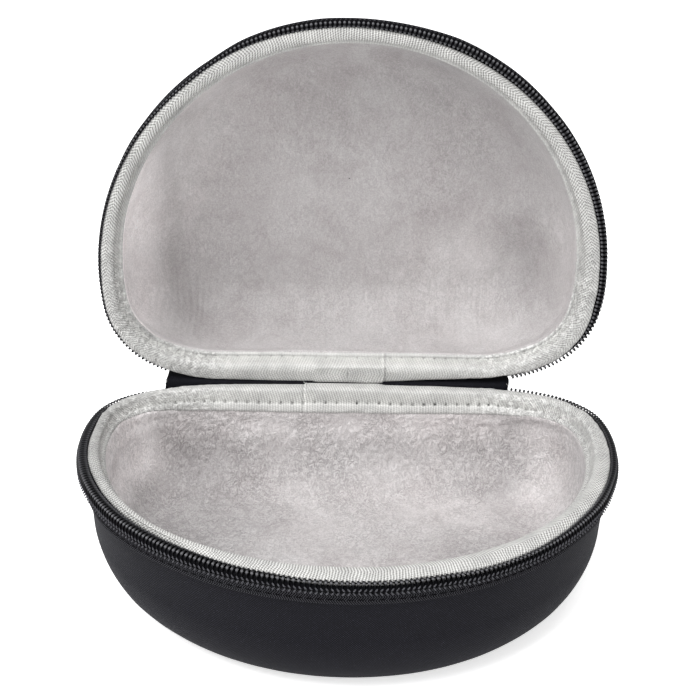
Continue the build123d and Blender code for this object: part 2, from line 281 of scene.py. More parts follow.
# =============================================================================
# Materials, all procedural
# =============================================================================
class Mat:
    def __init__(self, name):
        self.m = bpy.data.materials.new(name)
        self.m.use_nodes = True
        self.t = self.m.node_tree
        self.p = self.t.nodes["Principled BSDF"]

    def node(self, kind, **kw):
        n = self.t.nodes.new(kind)
        for k, v in kw.items():
            setattr(n, k, v)
        return n

    def link(self, a, b):
        self.t.links.new(a, b)

    def val(self, node, name, value):
        node.inputs[name].default_value = value
        return node

    def coords(self, scale=(1, 1, 1), uv=False, rot=(0, 0, 0)):
        if uv:
            c = self.node("ShaderNodeUVMap", uv_map="mm").outputs["UV"]
        else:
            c = self.node("ShaderNodeTexCoord").outputs["Object"]
        mp = self.node("ShaderNodeMapping")
        mp.inputs["Scale"].default_value = scale
        mp.inputs["Rotation"].default_value = rot
        self.link(c, mp.inputs["Vector"])
        return mp.outputs["Vector"]

    def noise(self, vec, scale, detail=3, rough=0.55, distort=0.0):
        n = self.node("ShaderNodeTexNoise")
        n.inputs["Scale"].default_value = scale
        n.inputs["Detail"].default_value = detail
        n.inputs["Roughness"].default_value = rough
        n.inputs["Distortion"].default_value = distort
        self.link(vec, n.inputs["Vector"])
        return n.outputs["Fac"]

    def math(self, op, a, b=None, c=None, clamp=False):
        n = self.node("ShaderNodeMath", operation=op, use_clamp=clamp)
        for i, v in enumerate((a, b, c)):
            if v is None:
                continue
            if isinstance(v, (int, float)):
                n.inputs[i].default_value = v
            else:
                self.link(v, n.inputs[i])
        return n.outputs[0]

    def ramp(self, fac, stops):
        n = self.node("ShaderNodeValToRGB")
        e = n.color_ramp.elements
        while len(e) < len(stops):
            e.new(0.5)
        for k, (pos, col) in enumerate(stops):
            e[k].position = pos
            e[k].color = (*col, 1) if len(col) == 3 else col
        self.link(fac, n.inputs["Fac"])
        return n.outputs["Color"]

    def mix(self, fac, a, b, mode="MIX"):
        n = self.node("ShaderNodeMix", data_type="RGBA", blend_type=mode)
        for i, v in ((0, fac), (6, a), (7, b)):
            if isinstance(v, (int, float)):
                n.inputs[i].default_value = v
            elif isinstance(v, tuple):
                n.inputs[i].default_value = (*v, 1) if len(v) == 3 else v
            else:
                self.link(v, n.inputs[i])
        return n.outputs[2]

    def bump(self, height, distance, strength=1.0, prev=None):
        n = self.node("ShaderNodeBump")
        n.inputs["Strength"].default_value = strength
        n.inputs["Distance"].default_value = distance
        self.link(height, n.inputs["Height"])
        if prev is not None:
            self.link(prev, n.inputs["Normal"])
        return n.outputs["Normal"]

    def tone(self):
        """The brightness given to each point of the mesh."""
        n = self.node("ShaderNodeAttribute", attribute_name="tone").outputs["Fac"]
        g = self.node("ShaderNodeCombineColor")
        for k in range(3):
            self.link(n, g.inputs[k])
        return g.outputs[0]

    def uvxy(self, layer="mm"):
        s = self.node("ShaderNodeSeparateXYZ")
        self.link(self.node("ShaderNodeUVMap", uv_map=layer).outputs["UV"], s.inputs[0])
        return s.outputs[0], s.outputs[1]

    def wave(self, x, period, phase=0.0):
        """0..1 cosine of a coordinate in mm."""
        k = self.math("MULTIPLY_ADD", x, 2 * math.pi / period, phase)
        return self.math("MULTIPLY_ADD", self.math("SINE", k), 0.5, 0.5)

    def out(self, color=None, rough=None, normal=None, **fixed):
        if color is not None:
            if isinstance(color, tuple):
                self.p.inputs["Base Color"].default_value = (*color, 1)
            else:
                self.link(color, self.p.inputs["Base Color"])
        if rough is not None:
            if isinstance(rough, (int, float)):
                self.p.inputs["Roughness"].default_value = rough
            else:
                self.link(rough, self.p.inputs["Roughness"])
        if normal is not None:
            self.link(normal, self.p.inputs["Normal"])
        for k, v in fixed.items():
            self.p.inputs[k.replace("_", " ")].default_value = v
        return self.m


def velvet_material():
    m = Mat("velvet")
    o = m.coords()
    u, v = m.uvxy()
    zone, lid = m.uvxy("zone")                        # 0 rim .. 1 middle of the floor; 1 in the lid
    patch = m.noise(o, 30.0, 3, 0.55, 0.8)            # brushed patches, some cm wide
    blotch = m.noise(o, 75.0, 3, 0.6, 1.2)
    pile = m.noise(o, 1700.0, 3, 0.7)                 # single tufts
    flow = m.noise(m.coords(scale=(1.25, 1.0, 0.62)), 400.0, 2, 0.5, 0.9)
    curl = m.wave(flow, 0.26)                         # winding curls of the pile, 1 to 2 mm
    curl2 = m.wave(m.noise(m.coords(scale=(1.0, 1.3, 0.8), rot=(0.5, 0.9, 0.3)), 640.0, 2, 0.55, 1.2), 0.30)
    cover = m.noise(m.coords(rot=(0.2, 0.4, 1.3)), 42.0, 3, 0.6, 0.5)
    amount = m.ramp(cover, [(0.36, (0.42,) * 3), (0.60, (1.0,) * 3)])
    c = m.ramp(patch, [(0.32, (0.405, 0.380, 0.380)), (0.68, (0.510, 0.492, 0.492))])
    c = m.mix(0.35, c, m.ramp(blotch, [(0.33, (0.385, 0.358, 0.358)), (0.66, (0.525, 0.508, 0.508))]))
    # smoother in the upper part of the lid, most curled on the rear wall of the base
    amount = m.math("MULTIPLY", amount, m.math("MULTIPLY_ADD", lid, -0.55, 1.0), clamp=True)
    worm = m.math("MULTIPLY_ADD", curl, 0.55, m.math("MULTIPLY", curl2, 0.45))
    tone = m.ramp(worm, [(0.15, (0.69, 0.685, 0.685)), (0.85, (1.19, 1.19, 1.19))])
    c = m.mix(m.math("MULTIPLY", amount, 0.85), c, m.mix(1.0, c, tone, "MULTIPLY"))
    fine = m.ramp(pile, [(0.32, (0.80, 0.80, 0.80)), (0.68, (1.13, 1.13, 1.13))])
    c = m.mix(0.8, c, fine, "MULTIPLY")
    # painted light and shade from the tone attribute: the top of the lid lies in more shade of its own rim, and the
    # walls by the binding are painted lighter
    c = m.mix(1.0, c, m.tone(), "MULTIPLY")
    nrm = m.bump(m.math("MULTIPLY", worm, amount), 0.00040, 0.7)
    nrm = m.bump(pile, 0.0003, 0.45, nrm)
    return m.out(c, 0.95, nrm, Sheen_Weight=0.25, Sheen_Roughness=0.5, Sheen_Tint=(0.95, 0.94, 0.95, 1), Specular_IOR_Level=0.1)


def binding_material():
    m = Mat("binding_grosgrain")
    u, v = m.uvxy()
    slope, rough_zone = m.uvxy("zone")                # 1 on the slope behind the crest; 1 where it is crumpled
    o = m.coords()
    wob = m.noise(o, 130.0, 3, 0.55)
    uu = m.math("MULTIPLY_ADD", wob, 1.5, u)
    rib = m.wave(uu, 0.89)
    cross = m.wave(m.math("MULTIPLY_ADD", uu, 0.45, v), 0.78)
    weave = m.math("MULTIPLY_ADD", cross, 0.34, m.math("MULTIPLY", rib, 0.66))
    fuzz = m.noise(o, 1500.0, 3, 0.7)
    wool = m.noise(o, 620.0, 3, 0.6, 1.2)              # loose loops where it is gathered
    tone = m.noise(o, 150.0, 3, 0.6)
    c = m.ramp(weave, [(0.08, (0.205, 0.202, 0.196)), (0.45, (0.43, 0.428, 0.418)), (0.95, (0.68, 0.678, 0.665))])
    soft = m.node("ShaderNodeAttribute", attribute_name="soft").outputs["Fac"]     # 1 where the ribs hardly show
    c = m.mix(soft, c, (0.455, 0.453, 0.443))
    c = m.mix(0.75, c, m.ramp(tone, [(0.3, (0.80, 0.80, 0.80)), (0.7, (1.12, 1.12, 1.11))]), "MULTIPLY")
    c = m.mix(0.6, c, m.ramp(fuzz, [(0.3, (0.80, 0.80, 0.80)), (0.7, (1.14, 1.14, 1.14))]), "MULTIPLY")
    loose = m.ramp(wool, [(0.38, (0.30, 0.297, 0.29)), (0.50, (0.44, 0.438, 0.43)), (0.62, (0.78, 0.78, 0.765))])
    c = m.mix(m.math("MULTIPLY", rough_zone, 0.55), c, loose)
    # painted shade on the slope behind the crest
    c = m.mix(m.math("MULTIPLY", slope, 0.8, clamp=True), c, m.mix(1.0, c, (0.86, 0.86, 0.85), "MULTIPLY"))
    # painted light and shade from the tone attribute
    c = m.mix(1.0, c, m.tone(), "MULTIPLY")
    # painted shadow in the needle holes
    hole = m.math("SUBTRACT", slope, 1.0, clamp=True)
    c = m.mix(hole, c, (0.030, 0.030, 0.030))
    height = m.math("MULTIPLY_ADD", m.math("MULTIPLY", wool, rough_zone), 1.6, m.math("MULTIPLY", weave, m.math("SUBTRACT", 1.0, soft)))
    nrm = m.bump(height, 0.00026, 1.0)
    nrm = m.bump(fuzz, 0.0002, 0.3, nrm)
    return m.out(c, 0.7, nrm, Sheen_Weight=0.1, Sheen_Roughness=0.4, Specular_IOR_Level=0.25)


def twill_material(name="outer_twill", tint=(0.0086, 0.0085, 0.0122)):
    m = Mat(name)
    u, v = m.uvxy()
    o = m.coords()
    wob = m.noise(o, 300.0, 2, 0.5)
    diag = m.math("ADD", m.math("ADD", u, v), m.math("MULTIPLY", wob, 0.5))
    line = m.wave(diag, 0.80)
    thread = m.wave(m.math("SUBTRACT", u, v), 0.80)
    dots = m.math("MULTIPLY", line, thread)
    speck = m.noise(o, 1700.0, 3, 0.75)
    tone = m.noise(o, 22.0, 3, 0.6)
    a, b = tuple(x * 0.30 for x in tint), tuple(x * 2.3 for x in tint)
    c = m.ramp(dots, [(0.1, a), (1.0, b)])
    c = m.mix(0.8, c, m.ramp(speck, [(0.35, (0.55, 0.55, 0.55)), (0.60, (1.10, 1.10, 1.10)), (0.74, (3.4, 3.3, 3.2))]), "MULTIPLY")
    c = m.mix(0.6, c, m.ramp(tone, [(0.3, (0.85, 0.85, 0.87)), (0.7, (1.15, 1.15, 1.13))]), "MULTIPLY")
    rough = m.math("MULTIPLY_ADD", speck, 0.2, 0.66)
    nrm = m.bump(dots, 0.00012, 0.6)
    nrm = m.bump(speck, 0.0001, 0.3, nrm)
    return m.out(c, rough, nrm, Sheen_Weight=0.02, Sheen_Roughness=0.4, Sheen_Tint=(0.6, 0.62, 0.72, 1), Specular_IOR_Level=0.08)


def tape_material():
    m = Mat("zip_tape")
    u, v = m.uvxy()
    o = m.coords()
    # herringbone: the slant turns over at each 1.1 mm row
    row = m.math("PINGPONG", v, 1.1)
    w = m.wave(m.math("ADD", u, m.math("MULTIPLY", row, 0.9)), 0.76)
    speck = m.noise(o, 1600.0, 3, 0.7)
    c = m.ramp(w, [(0.40, (0.0024, 0.0024, 0.0031)), (1.0, (0.043, 0.043, 0.049))])
    c = m.mix(0.6, c, m.ramp(speck, [(0.35, (0.75, 0.75, 0.75)), (0.7, (1.3, 1.3, 1.3))]), "MULTIPLY")
    nrm = m.bump(w, 0.00022, 0.8)
    return m.out(c, 0.8, nrm, Sheen_Weight=0.0, Specular_IOR_Level=0.04)


def coil_material(lighter_parts=True):
    m = Mat("coil_nylon" if lighter_parts else "chain_nylon")
    o = m.coords()
    n = m.noise(o, 900.0, 2, 0.5)
    c = m.ramp(n, [(0.3, (0.0008, 0.0008, 0.0011)), (0.7, (0.0022, 0.0022, 0.0029))])
    if lighter_parts:
        edge, head = m.uvxy("zone")
        # painted highlight on the ends of each head
        c = m.mix(m.math("MULTIPLY", edge, 0.95, clamp=True), c, (0.126, 0.126, 0.134))
    return m.out(c, m.math("MULTIPLY_ADD", n, 0.2, 0.36), None, Specular_IOR_Level=0.04)


def thread_material(name, dark, light, rough=0.6, spec=0.4):
    m = Mat(name)
    o = m.coords()
    n = m.noise(o, 2200.0, 2, 0.6)
    tone = m.noise(o, 90.0, 2, 0.5)
    c = m.ramp(n, [(0.3, dark), (0.7, light)])
    c = m.mix(0.4, c, m.ramp(tone, [(0.3, (0.8, 0.8, 0.8)), (0.7, (1.15, 1.15, 1.15))]), "MULTIPLY")
    return m.out(c, rough, m.bump(n, 0.0001, 0.4), Specular_IOR_Level=spec)


def metal_material():
    m = Mat("slider_lacquer")
    o = m.coords()
    n = m.noise(o, 260.0, 4, 0.6)
    fine = m.noise(o, 1400.0, 2, 0.6)
    c = m.ramp(n, [(0.35, (0.010, 0.010, 0.011)), (0.75, (0.024, 0.024, 0.026))])
    return m.out(c, m.math("MULTIPLY_ADD", n, 0.25, 0.2), m.bump(fine, 0.00004, 0.3), Metallic=0.35, Coat_Weight=0.3, Coat_Roughness=0.15)


def floor_material():
    m = Mat("floor")
    o = m.coords()
    n = m.noise(o, 3.0, 3, 0.5)
    c = m.ramp(n, [(0.3, (0.93, 0.93, 0.93)), (0.7, (0.95, 0.95, 0.95))])
    return m.out(c, 0.9, None, Specular_IOR_Level=0.05, Emission_Color=(1, 1, 1, 1), Emission_Strength=0.6)


VELVET, BINDING, TWILL, TAPE, COIL = velvet_material(), binding_material(), twill_material(), tape_material(), coil_material()
DARK_THREAD = thread_material("dark_thread", (0.0125, 0.0125, 0.0150), (0.040, 0.040, 0.046), 0.6, 0.12)
GREY_THREAD = thread_material("grey_thread", (0.027, 0.027, 0.031), (0.075, 0.075, 0.083), 0.7, 0.06)
# a lighter grey thread, used on the base's cord along the sides
SIDE_CORD_THREAD = thread_material("side_cord_thread", (0.010, 0.010, 0.012), (0.030, 0.030, 0.034), 0.8, 0.03)
BLACK_THREAD = thread_material("black_thread", (0.0012, 0.0012, 0.0017), (0.0040, 0.0040, 0.0050), 0.8, 0.03)
LIGHT_THREAD = thread_material("light_thread", (0.235, 0.232, 0.225), (0.40, 0.395, 0.385))
METAL, FLOOR, CHAIN = metal_material(), floor_material(), coil_material(False)


# =============================================================================
# The two halves
# =============================================================================
REAR_S = HALF_LEN


def rear_weight(s):
    """1 along the straight rear, 0 over the rest of the rim."""
    t = np.clip((np.abs(s) - (HALF_LEN - 74)) / 22, 0, 1)
    return t * t * (3 - 2 * t)


def ramp01(x, a, b):
    t = np.clip((x - a) / (b - a), 0, 1)
    return t * t * (3 - 2 * t)


# how far the coil's outer face stands out of the outline, round the rim
COIL_OUT = {
    "base": [(-245, 1.2), (-190, 0.9), (-172, 0.8), (-156, 1.35), (-144, 2.2), (-132, 2.8), (-120, 3.1), (-105, 3.5), (-85, 3.6), (-70, 3.2), (-30, 2.4), (0, 2.2),
             (50, 2.3), (80, 2.8), (96, 3.1), (108, 2.8), (120, 2.9), (144, 2.65), (156, 2.2), (170, 1.3), (190, 1.3), (245, 1.4)],
    "lid": [(-245, 0.9), (-190, 0.6), (-160, 0.30), (-150, 0.30), (-132, 0.42), (-108, 0.46), (-84, 0.44), (-72, 0.30), (-60, 0.36), (-48, 0.95), (-36, 1.80), (-24, 1.95),
            (-12, 1.98), (0, 1.70), (12, 1.62), (24, 1.85), (36, 2.42), (48, 2.52), (60, 2.65), (72, 2.65), (84, 2.95), (96, 3.05), (108, 3.15), (132, 3.2), (144, 3.4),
            (156, 2.75), (168, 1.8), (180, 0.7), (192, 0.2), (204, 0.2), (216, 0.5), (245, 1.1)],
}
# how much lower its heads sit
COIL_DROP = {
    "base": [(-245, 2.2), (-192, 2.3), (-168, 0.9), (-150, 0.2), (-60, 0.0), (-20, 0.15), (15, 0.30), (26, 0.35), (40, 0.8), (60, 0.6), (90, 0.1), (150, 0.1), (168, 0.35), (182, 0.85), (192, 1.0), (245, 0.9)],
    "lid": [(-245, 0.0), (245, 0.0)],
}
# where the outer face of the binding's roll stands, out of the outline
BIND_OUT = {
    "base": [(-245, -0.1), (-200, -0.2), (-172, -0.8), (-156, -1.3), (-144, -1.15), (-132, -0.75), (-120, -0.5), (-108, -0.8), (-96, -0.95), (-84, -1.15), (-72, -1.45), (-60, -1.6),
             (-48, -0.95), (-36, -0.5), (-24, -0.35), (-12, 0.35), (0, 0.45), (12, 0.6), (24, 0.35), (36, 0.9), (48, 1.05), (60, 0.9), (72, 0.6), (84, 0.25), (108, 0.35),
             (144, 0.15), (156, -0.3), (170, -0.6), (190, -0.3), (245, -0.1)],
    "lid": [(-250, 0.5), (-233, 0.6), (-205, 0.3), (-195, 0.2), (-170, -0.1), (-150, -0.45), (-132, -0.55), (-100, -0.65), (-60, -0.6), (-48, -0.2), (-36, 0.0), (-24, -0.2),
            (0, -0.5), (14, -0.95), (26, -0.95), (48, -0.65), (72, -0.25), (96, 0.1), (140, 0.4), (156, 0.3), (170, -0.1), (185, -0.8), (197, -1.5), (211, -0.9), (222, -0.5),
            (232, 0.2), (237, 0.4), (243, 0.8)],
}
# how much lower its crest lies
CREST_DROP = {
    "base": [(-245, 0.35), (-233, 0.45), (-214, 0.72), (-195, 1.2), (-180, 1.0), (-165, 0.45), (-150, 0.15), (0, 0.0), (150, 0.05), (170, 0.4), (185, 0.95), (200, 1.15), (211, 0.85),
             (222, 0.5), (232, 0.4), (243, 0.4)],
    "lid": [(-245, 0.0), (245, 0.0)],
}
# width of the rolled crest of the binding
CREST_W = {
    "base": [(-245, 6.2), (-205, 5.6), (-165, 4.6), (-140, 4.2), (-80, 4.0), (-40, 5.6), (0, 6.6), (40, 6.4), (80, 5.4), (130, 4.8), (180, 5.2), (210, 5.8), (245, 6.2)],
    "lid": [(-245, 5.8), (-190, 5.4), (-150, 5.0), (-100, 4.8), (-60, 4.8), (0, 4.6), (60, 4.6), (100, 4.8), (140, 5.0), (180, 5.4), (245, 5.8)],
}
# where its inner edge ends
BIND_IN = {
    "base": [(-245, 9.1), (-210, 8.6), (-188, 7.7), (-165, 6.7), (-145, 6.2), (-100, 6.1), (-70, 6.6), (-40, 7.6), (0, 8.4), (50, 8.3), (80, 7.9), (110, 7.5), (150, 7.4),
             (180, 8.0), (210, 8.7), (245, 9.1)],
    "lid": [(-245, 9.1), (-190, 8.8), (-150, 8.1), (-100, 7.2), (0, 6.6), (100, 6.9), (150, 7.8), (190, 8.8), (245, 9.1)],
}
# depth of its inner edge; behind the stitches at the rear a flange goes on down
BIND_LEG = {
    "base": [(-251, 7.6), (-195, 7.5), (-178, 6.2), (-150, 5.0), (-100, 4.4), (0, 4.1), (100, 4.5), (150, 5.2), (178, 6.4), (195, 7.5), (251, 7.6)],
    "lid": [(-251, 4.9), (-150, 4.3), (0, 4.1), (150, 4.3), (251, 4.9)],
}
# painted light and shade of its tape round the rim
BIND_LIGHT_AND_SHADE = {
    "base": [(-251, 1.05), (-192, 1.05), (-168, 0.86), (-150, 0.71), (-125, 0.69), (-105, 0.78), (-85, 0.93), (0, 0.97), (100, 0.93), (140, 0.88), (165, 0.95), (190, 1.05), (251, 1.06)],
    "lid": [(-251, 1.14), (-212, 1.09), (-192, 0.93), (-176, 0.88), (-160, 0.85), (-120, 0.80), (-50, 0.78), (0, 0.80), (60, 0.82), (130, 0.86), (165, 0.95), (190, 1.10), (251, 1.14)],
}
# the tape's upper edge; at the front the binding shows between the teeth
TAPE_TOP = {
    "base": [(-245, 1.3), (-70, 1.3), (-35, 1.9), (-10, 2.3), (55, 2.5), (80, 1.7), (100, 1.3), (245, 1.3)],
    "lid": [(-245, 1.1), (245, 1.1)],
}
JOINT_S = {"base": (HALF_LEN - 13.0, -(HALF_LEN - 15.2)), "lid": (HALF_LEN - 13.0, -(HALF_LEN - 13.0))}


def joint_lift(s, half):
    """The ends of the binding lie over each other at the middle of the rear edge."""
    to_mid = HALF_LEN - np.abs(s)
    x = np.where(s < 0, -to_mid, to_mid)
    if half == "base":
        return 0.55 * np.clip((x + 15.4) / 0.4, 0, 1) * np.clip((14.0 - x) / 2.5, 0, 1)
    return 0.55 * np.clip((x + 13.0) / 2.5, 0, 1) * np.clip((13.2 - x) / 0.4, 0, 1)


def pucker(s, half):
    """Gathers of the binding where it turns the tight rear corners (0..1)."""
    a = np.abs(s)
    full = ramp01(a, 105, 150) * (1 - ramp01(a, 196, 218))
    if half == "lid":
        full = np.maximum(full, 0.35 * ramp01(s, 40, 80) * (1 - ramp01(s, 120, 160)))
    return full


def seam_depth(leg):
    """How deep the line of stitches near the inner edge of the binding lies."""
    return 3.95 + 0.38 * (leg - 4.1)


def make_binding(half):
    ns, nv = 1700, 44
    s = np.linspace(-HALF_LEN, HALF_LEN, ns, endpoint=False)
    w, e, bo = table(s, CREST_W[half]), table(s, BIND_IN[half]), table(s, BIND_OUT[half])
    drop = table(s, CREST_DROP[half])
    deep = table(s, TAPE_TOP[half]) + 0.5
    leg = table(s, BIND_LEG[half])
    lift = joint_lift(s, half)
    prof = []
    for wi, ei, oi, dr, dp, lg in zip(w, e, bo, drop, deep, leg):
        run, sd = ei - 1.15 - wi, seam_depth(lg)
        pts = [(-oi + 0.55, dp + 1.6 + dr), (-oi + 0.10, dp + 0.5 + dr), (-oi, 1.35 + dr), (-oi + 0.48, 0.62 + dr), (wi * 0.40, 0.26 + dr), (wi * 0.74, 0.24 + 0.8 * dr),
               (wi, 0.85 + 0.5 * dr), (wi + run * 0.30, 2.05 + 0.2 * dr + 0.25 * (sd - 3.95)), (wi + run * 0.72, 3.35 + 0.75 * (sd - 3.95)), (ei - 1.15, sd)]
        pts += [(ei - 0.62 + 0.04 * (lg - 4.1), sd - 0.15 + 0.12 * (lg - 4.1)), (ei, lg), (ei - 0.25, lg + 0.8)]
        prof.append(catmull(pts, nv))
    prof = np.array(prof)                               # (ns, nv, 2): inward, depth
    inward, depth = prof[..., 0].copy(), prof[..., 1].copy()
    v = np.linspace(0, 1, nv)[None]
    # stitches pull the tape in along a line near its inner edge
    step = 4.0
    hole = np.abs(((s / step + 0.5) % 1) - 0.5)[:, None] * step
    line_in = (e - 1.15)[:, None]
    near = np.exp(-((inward - line_in) / 0.45) ** 2) * np.exp(-((depth - seam_depth(leg)[:, None]) / 0.8) ** 2)
    near = near * (0.35 if half == "lid" else (1 - 0.6 * ramp01(np.abs(s), 88, 105) * (1 - ramp01(np.abs(s), 176, 196)))[:, None])
    depth += near * (0.12 + 0.45 * np.exp(-(hole / 0.42) ** 2))
    inward -= near * (0.12 + 0.35 * np.exp(-(hole / 0.42) ** 2))
    # puckers of the corners and the soft unevenness of the roll
    P0 = at(np.repeat(s[:, None], nv, 1), -inward, depth)
    pk = pucker(s, half)[:, None]
    sv = np.repeat(s[:, None], nv, 1)
    gather = noise(np.stack([sv, inward * 0.25, np.zeros_like(inward) + (5 if half == "lid" else 0)], -1), 3.1, 3)
    crumple = noise(np.stack([sv, inward, depth], -1), 1.7, 31 if half == "lid" else 32)
    soft = noise(P0, 14.0, 4)
    body = np.sin(np.clip(v, 0, 1) * math.pi) ** 0.7
    inner_half = ramp01(v, 0.35, 0.6)
    depth += body * (-0.42 * pk * gather + 0.16 * soft) - 0.26 * crumple * pk * body * (0.65 + 0.5 * inner_half)
    inward += body * (0.20 * pk * noise(P0, 4.0, 8) + 0.10 * noise(P0, 9.0, 9))
    inward[:, -3:] += 0.22 * noise(P0[:, -3:], 5.0, 12)
    depth -= body * lift[:, None]
    inward -= lift[:, None] * (1 - ramp01(v, 0.0, 0.35)) * 1.1
    # nothing stands above the plane where the halves meet; a row of stitches lies in the dip at the joint
    x_row = np.where(s < 0, -1.0, 1.0) * (HALF_LEN - np.abs(s)) - (-14.6 if half == "base" else 13.6)
    depth = np.maximum(depth, 0.05 + 0.17 * np.exp(-((x_row / 0.6) ** 2))[:, None])
    P = at(np.repeat(s[:, None], nv, 1), -inward, depth)
    length = np.concatenate([np.zeros((ns, 1)), np.cumsum(np.hypot(np.diff(prof[..., 0], axis=1), np.diff(prof[..., 1], axis=1)), axis=1)], 1)
    # herringbone: the ribs slant away on both sides of a line along the crest
    k = np.argmin(np.abs(prof[..., 0] - 0.5 * w[:, None]) + 50.0 * (np.arange(nv)[None] < 6), axis=1)
    from_line = np.abs(length - length[np.arange(ns), k][:, None])
    a = np.abs(s)
    if half == "lid":
        slant = -0.95 * np.sign(s) * ramp01(a, 12, 62) * (1 - 0.6 * ramp01(a, 190, 212))
    else:
        slant = 0.15 + 0.80 * ramp01(a, 30, 80) * (1 - 0.75 * ramp01(a, 180, 205))
    norm = np.sqrt(1 + slant**2)
    along = np.cumsum(2 * HALF_LEN / ns / norm)
    uv = np.stack([along[:, None] + (slant / norm)[:, None] * np.minimum(from_line, 7.0), length], -1)
    # painted shade on the slope behind the crest, most towards the rear corners
    slope = ramp01(prof[..., 0], (w + 0.1)[:, None], (w + 0.9)[:, None]) * (1 - ramp01(prof[..., 0], (e - 1.1)[:, None], (e - 0.8)[:, None])) * (v > 0.3)
    slope = slope * (0.25 + 0.75 * ramp01(np.abs(s), 150, 185))[:, None]
    # painted shadow in the needle holes towards the rear corners
    slope += 2.3 * near * np.exp(-(hole / 0.34) ** 2) * ramp01(np.abs(s), 165, 200)[:, None] * np.clip(0.45 + 0.9 * noise(np.stack([s, s * 0, s * 0], -1), 7.0, 90), 0.05, 1)[:, None]
    zone = np.stack([slope, np.broadcast_to(pk, slope.shape) * (0.6 + 0.4 * inner_half)], -1)
    # painted light and shade round the rim
    tone = table(s, BIND_LIGHT_AND_SHADE[half])[:, None] + np.zeros((1, nv))
    # at the cut end of the upper layer, a painted highlight beside a painted shadow line
    x_mid = np.where(s < 0, -1.0, 1.0) * (HALF_LEN - np.abs(s))
    j = -15.1 if half == "base" else 12.9
    turn = 1.0 if half == "base" else -1.0
    tone = tone * (1 + 0.30 * np.exp(-((x_mid - j) / 0.35) ** 2) - 0.28 * np.exp(-((x_mid - j + 0.75 * turn) / 0.35) ** 2))[:, None]
    soft = (0.46 * ramp01(np.abs(s), 160, 188))[:, None] * np.ones((1, nv))
    if half == "base":
        # painted light on its slope at the left, painted shade by its inner edge along the left side, and a little
        # painted light on the flange towards the rear corners, where the ribs also show a little less
        inner = ramp01(prof[..., 0], (w - 0.2)[:, None], (w + 1.0)[:, None])
        tone = tone * (1 + 1.30 * (ramp01(-s, 96, 122) * (1 - ramp01(-s, 160, 185)))[:, None] * inner)
        tone = tone * (1 - 0.45 * (ramp01(-s, 90, 115) * (1 - ramp01(-s, 160, 180)) + 0.45 * ramp01(-s, 160, 180) * (1 - ramp01(-s, 196, 214)))[:, None]
                       * ramp01(prof[..., 0], (e - 1.5)[:, None], (e - 0.85)[:, None]))
        tone = tone * (1 + 0.10 * ramp01(prof[..., 0], (e - 0.95)[:, None], (e - 0.6)[:, None]) * ramp01(np.abs(s), 165, 195)[:, None])
        soft = soft + 0.12 * ramp01(prof[..., 0], (e - 0.95)[:, None], (e - 0.6)[:, None]) * ramp01(np.abs(s), 165, 195)[:, None]
    else:
        # on the lid the binding goes over into the velvet without an edge
        soft = np.maximum(soft, 0.75 * ramp01(prof[..., 0], (w + 0.2)[:, None], (e - 0.9)[:, None]))
        soft = soft + 0.20 * ramp01(np.abs(s), 160, 188)[:, None] * ramp01(prof[..., 0], (0.55 * w)[:, None], (w + 0.8)[:, None])
        soft = np.clip(soft, 0, 0.9)
        # painted light on its inner part at the left, and painted shade by its inner edge over the left side
        inner = ramp01(prof[..., 0], (w - 0.4)[:, None], (w + 1.0)[:, None])
        tone = tone * (1 + (0.42 * ramp01(-s, 60, 95) * (1 - ramp01(-s, 150, 175)))[:, None] * inner)
        tone = tone * (1 - 0.26 * ramp01(-s, 50, 90)[:, None] * (1 - ramp01(-s, 170, 190))[:, None] * ramp01(prof[..., 0], (e - 1.7)[:, None], (e - 0.9)[:, None]))
    ob = grid_object(f"{half}_binding", place(P, half), uv, wrap_u=True, flip=(half == "lid"), zone=zone, tone=tone, soft=soft)
    ob.data.materials.append(BINDING)
    return ob


def inner_profile(half, e, lg, r, n):
    """Lining profile (inward, depth) from under the binding to the floor."""
    pts = [(e - 0.9, lg - 0.3), (e - 0.50, lg + 0.55), (e - 0.70, lg + 2.0)]
    pts.insert(1, (e - 0.62, lg + 0.2))
    flush = [(e - 1.15, lg + 0.30), (e - 0.70, lg - 0.10), (e - 0.15, lg + 0.12), (e + 0.20, lg + 1.3)]
    k = 1.0 if half == "lid" else 1 - r
    pts = [(a * k + c * (1 - k), b * k + g * (1 - k)) for (a, b), (c, g) in zip(flush, pts)]
    if half == "base":
        wall, corner, start, floor = 7.0, 17.5 - 3.0 * r, 17.0, 39.2
        pts += [(wall + 0.35 * (e - wall), max(9.5, lg + 4.0)), (wall + 0.12, max(13.0, lg + 6.5))]
        for deg in (0, 12, 24, 36, 48, 60, 72, 82, 90):
            a = math.radians(deg)
            pts.append((wall + corner * (1 - math.cos(a)), start + (floor - start) * math.sin(a)))
    else:
        floor = 39.0
        for d in (11.0, 15.0, 19.0, 23.0, 27.0, 30.5, 33.5, 36.0, 37.8, 38.8, 39.0):
            run = d - 9.5
            over = 1 - math.sqrt(max(0.0, 1 - (run / (floor - 9.5)) ** 2))
            side = 6.9 + 0.17 * run + 16.0 * over
            rear = 6.9 + 0.03 * run + 14.0 * (1 - math.sqrt(max(0.0, 1 - (max(d - 17.0, 0) / (floor - 17.0)) ** 2)))
            pts.append((side * (1 - r) + rear * r, d))
    return catmull(pts, n)


CREASE = (-58.0, -98.5, -52.5, -97.2)


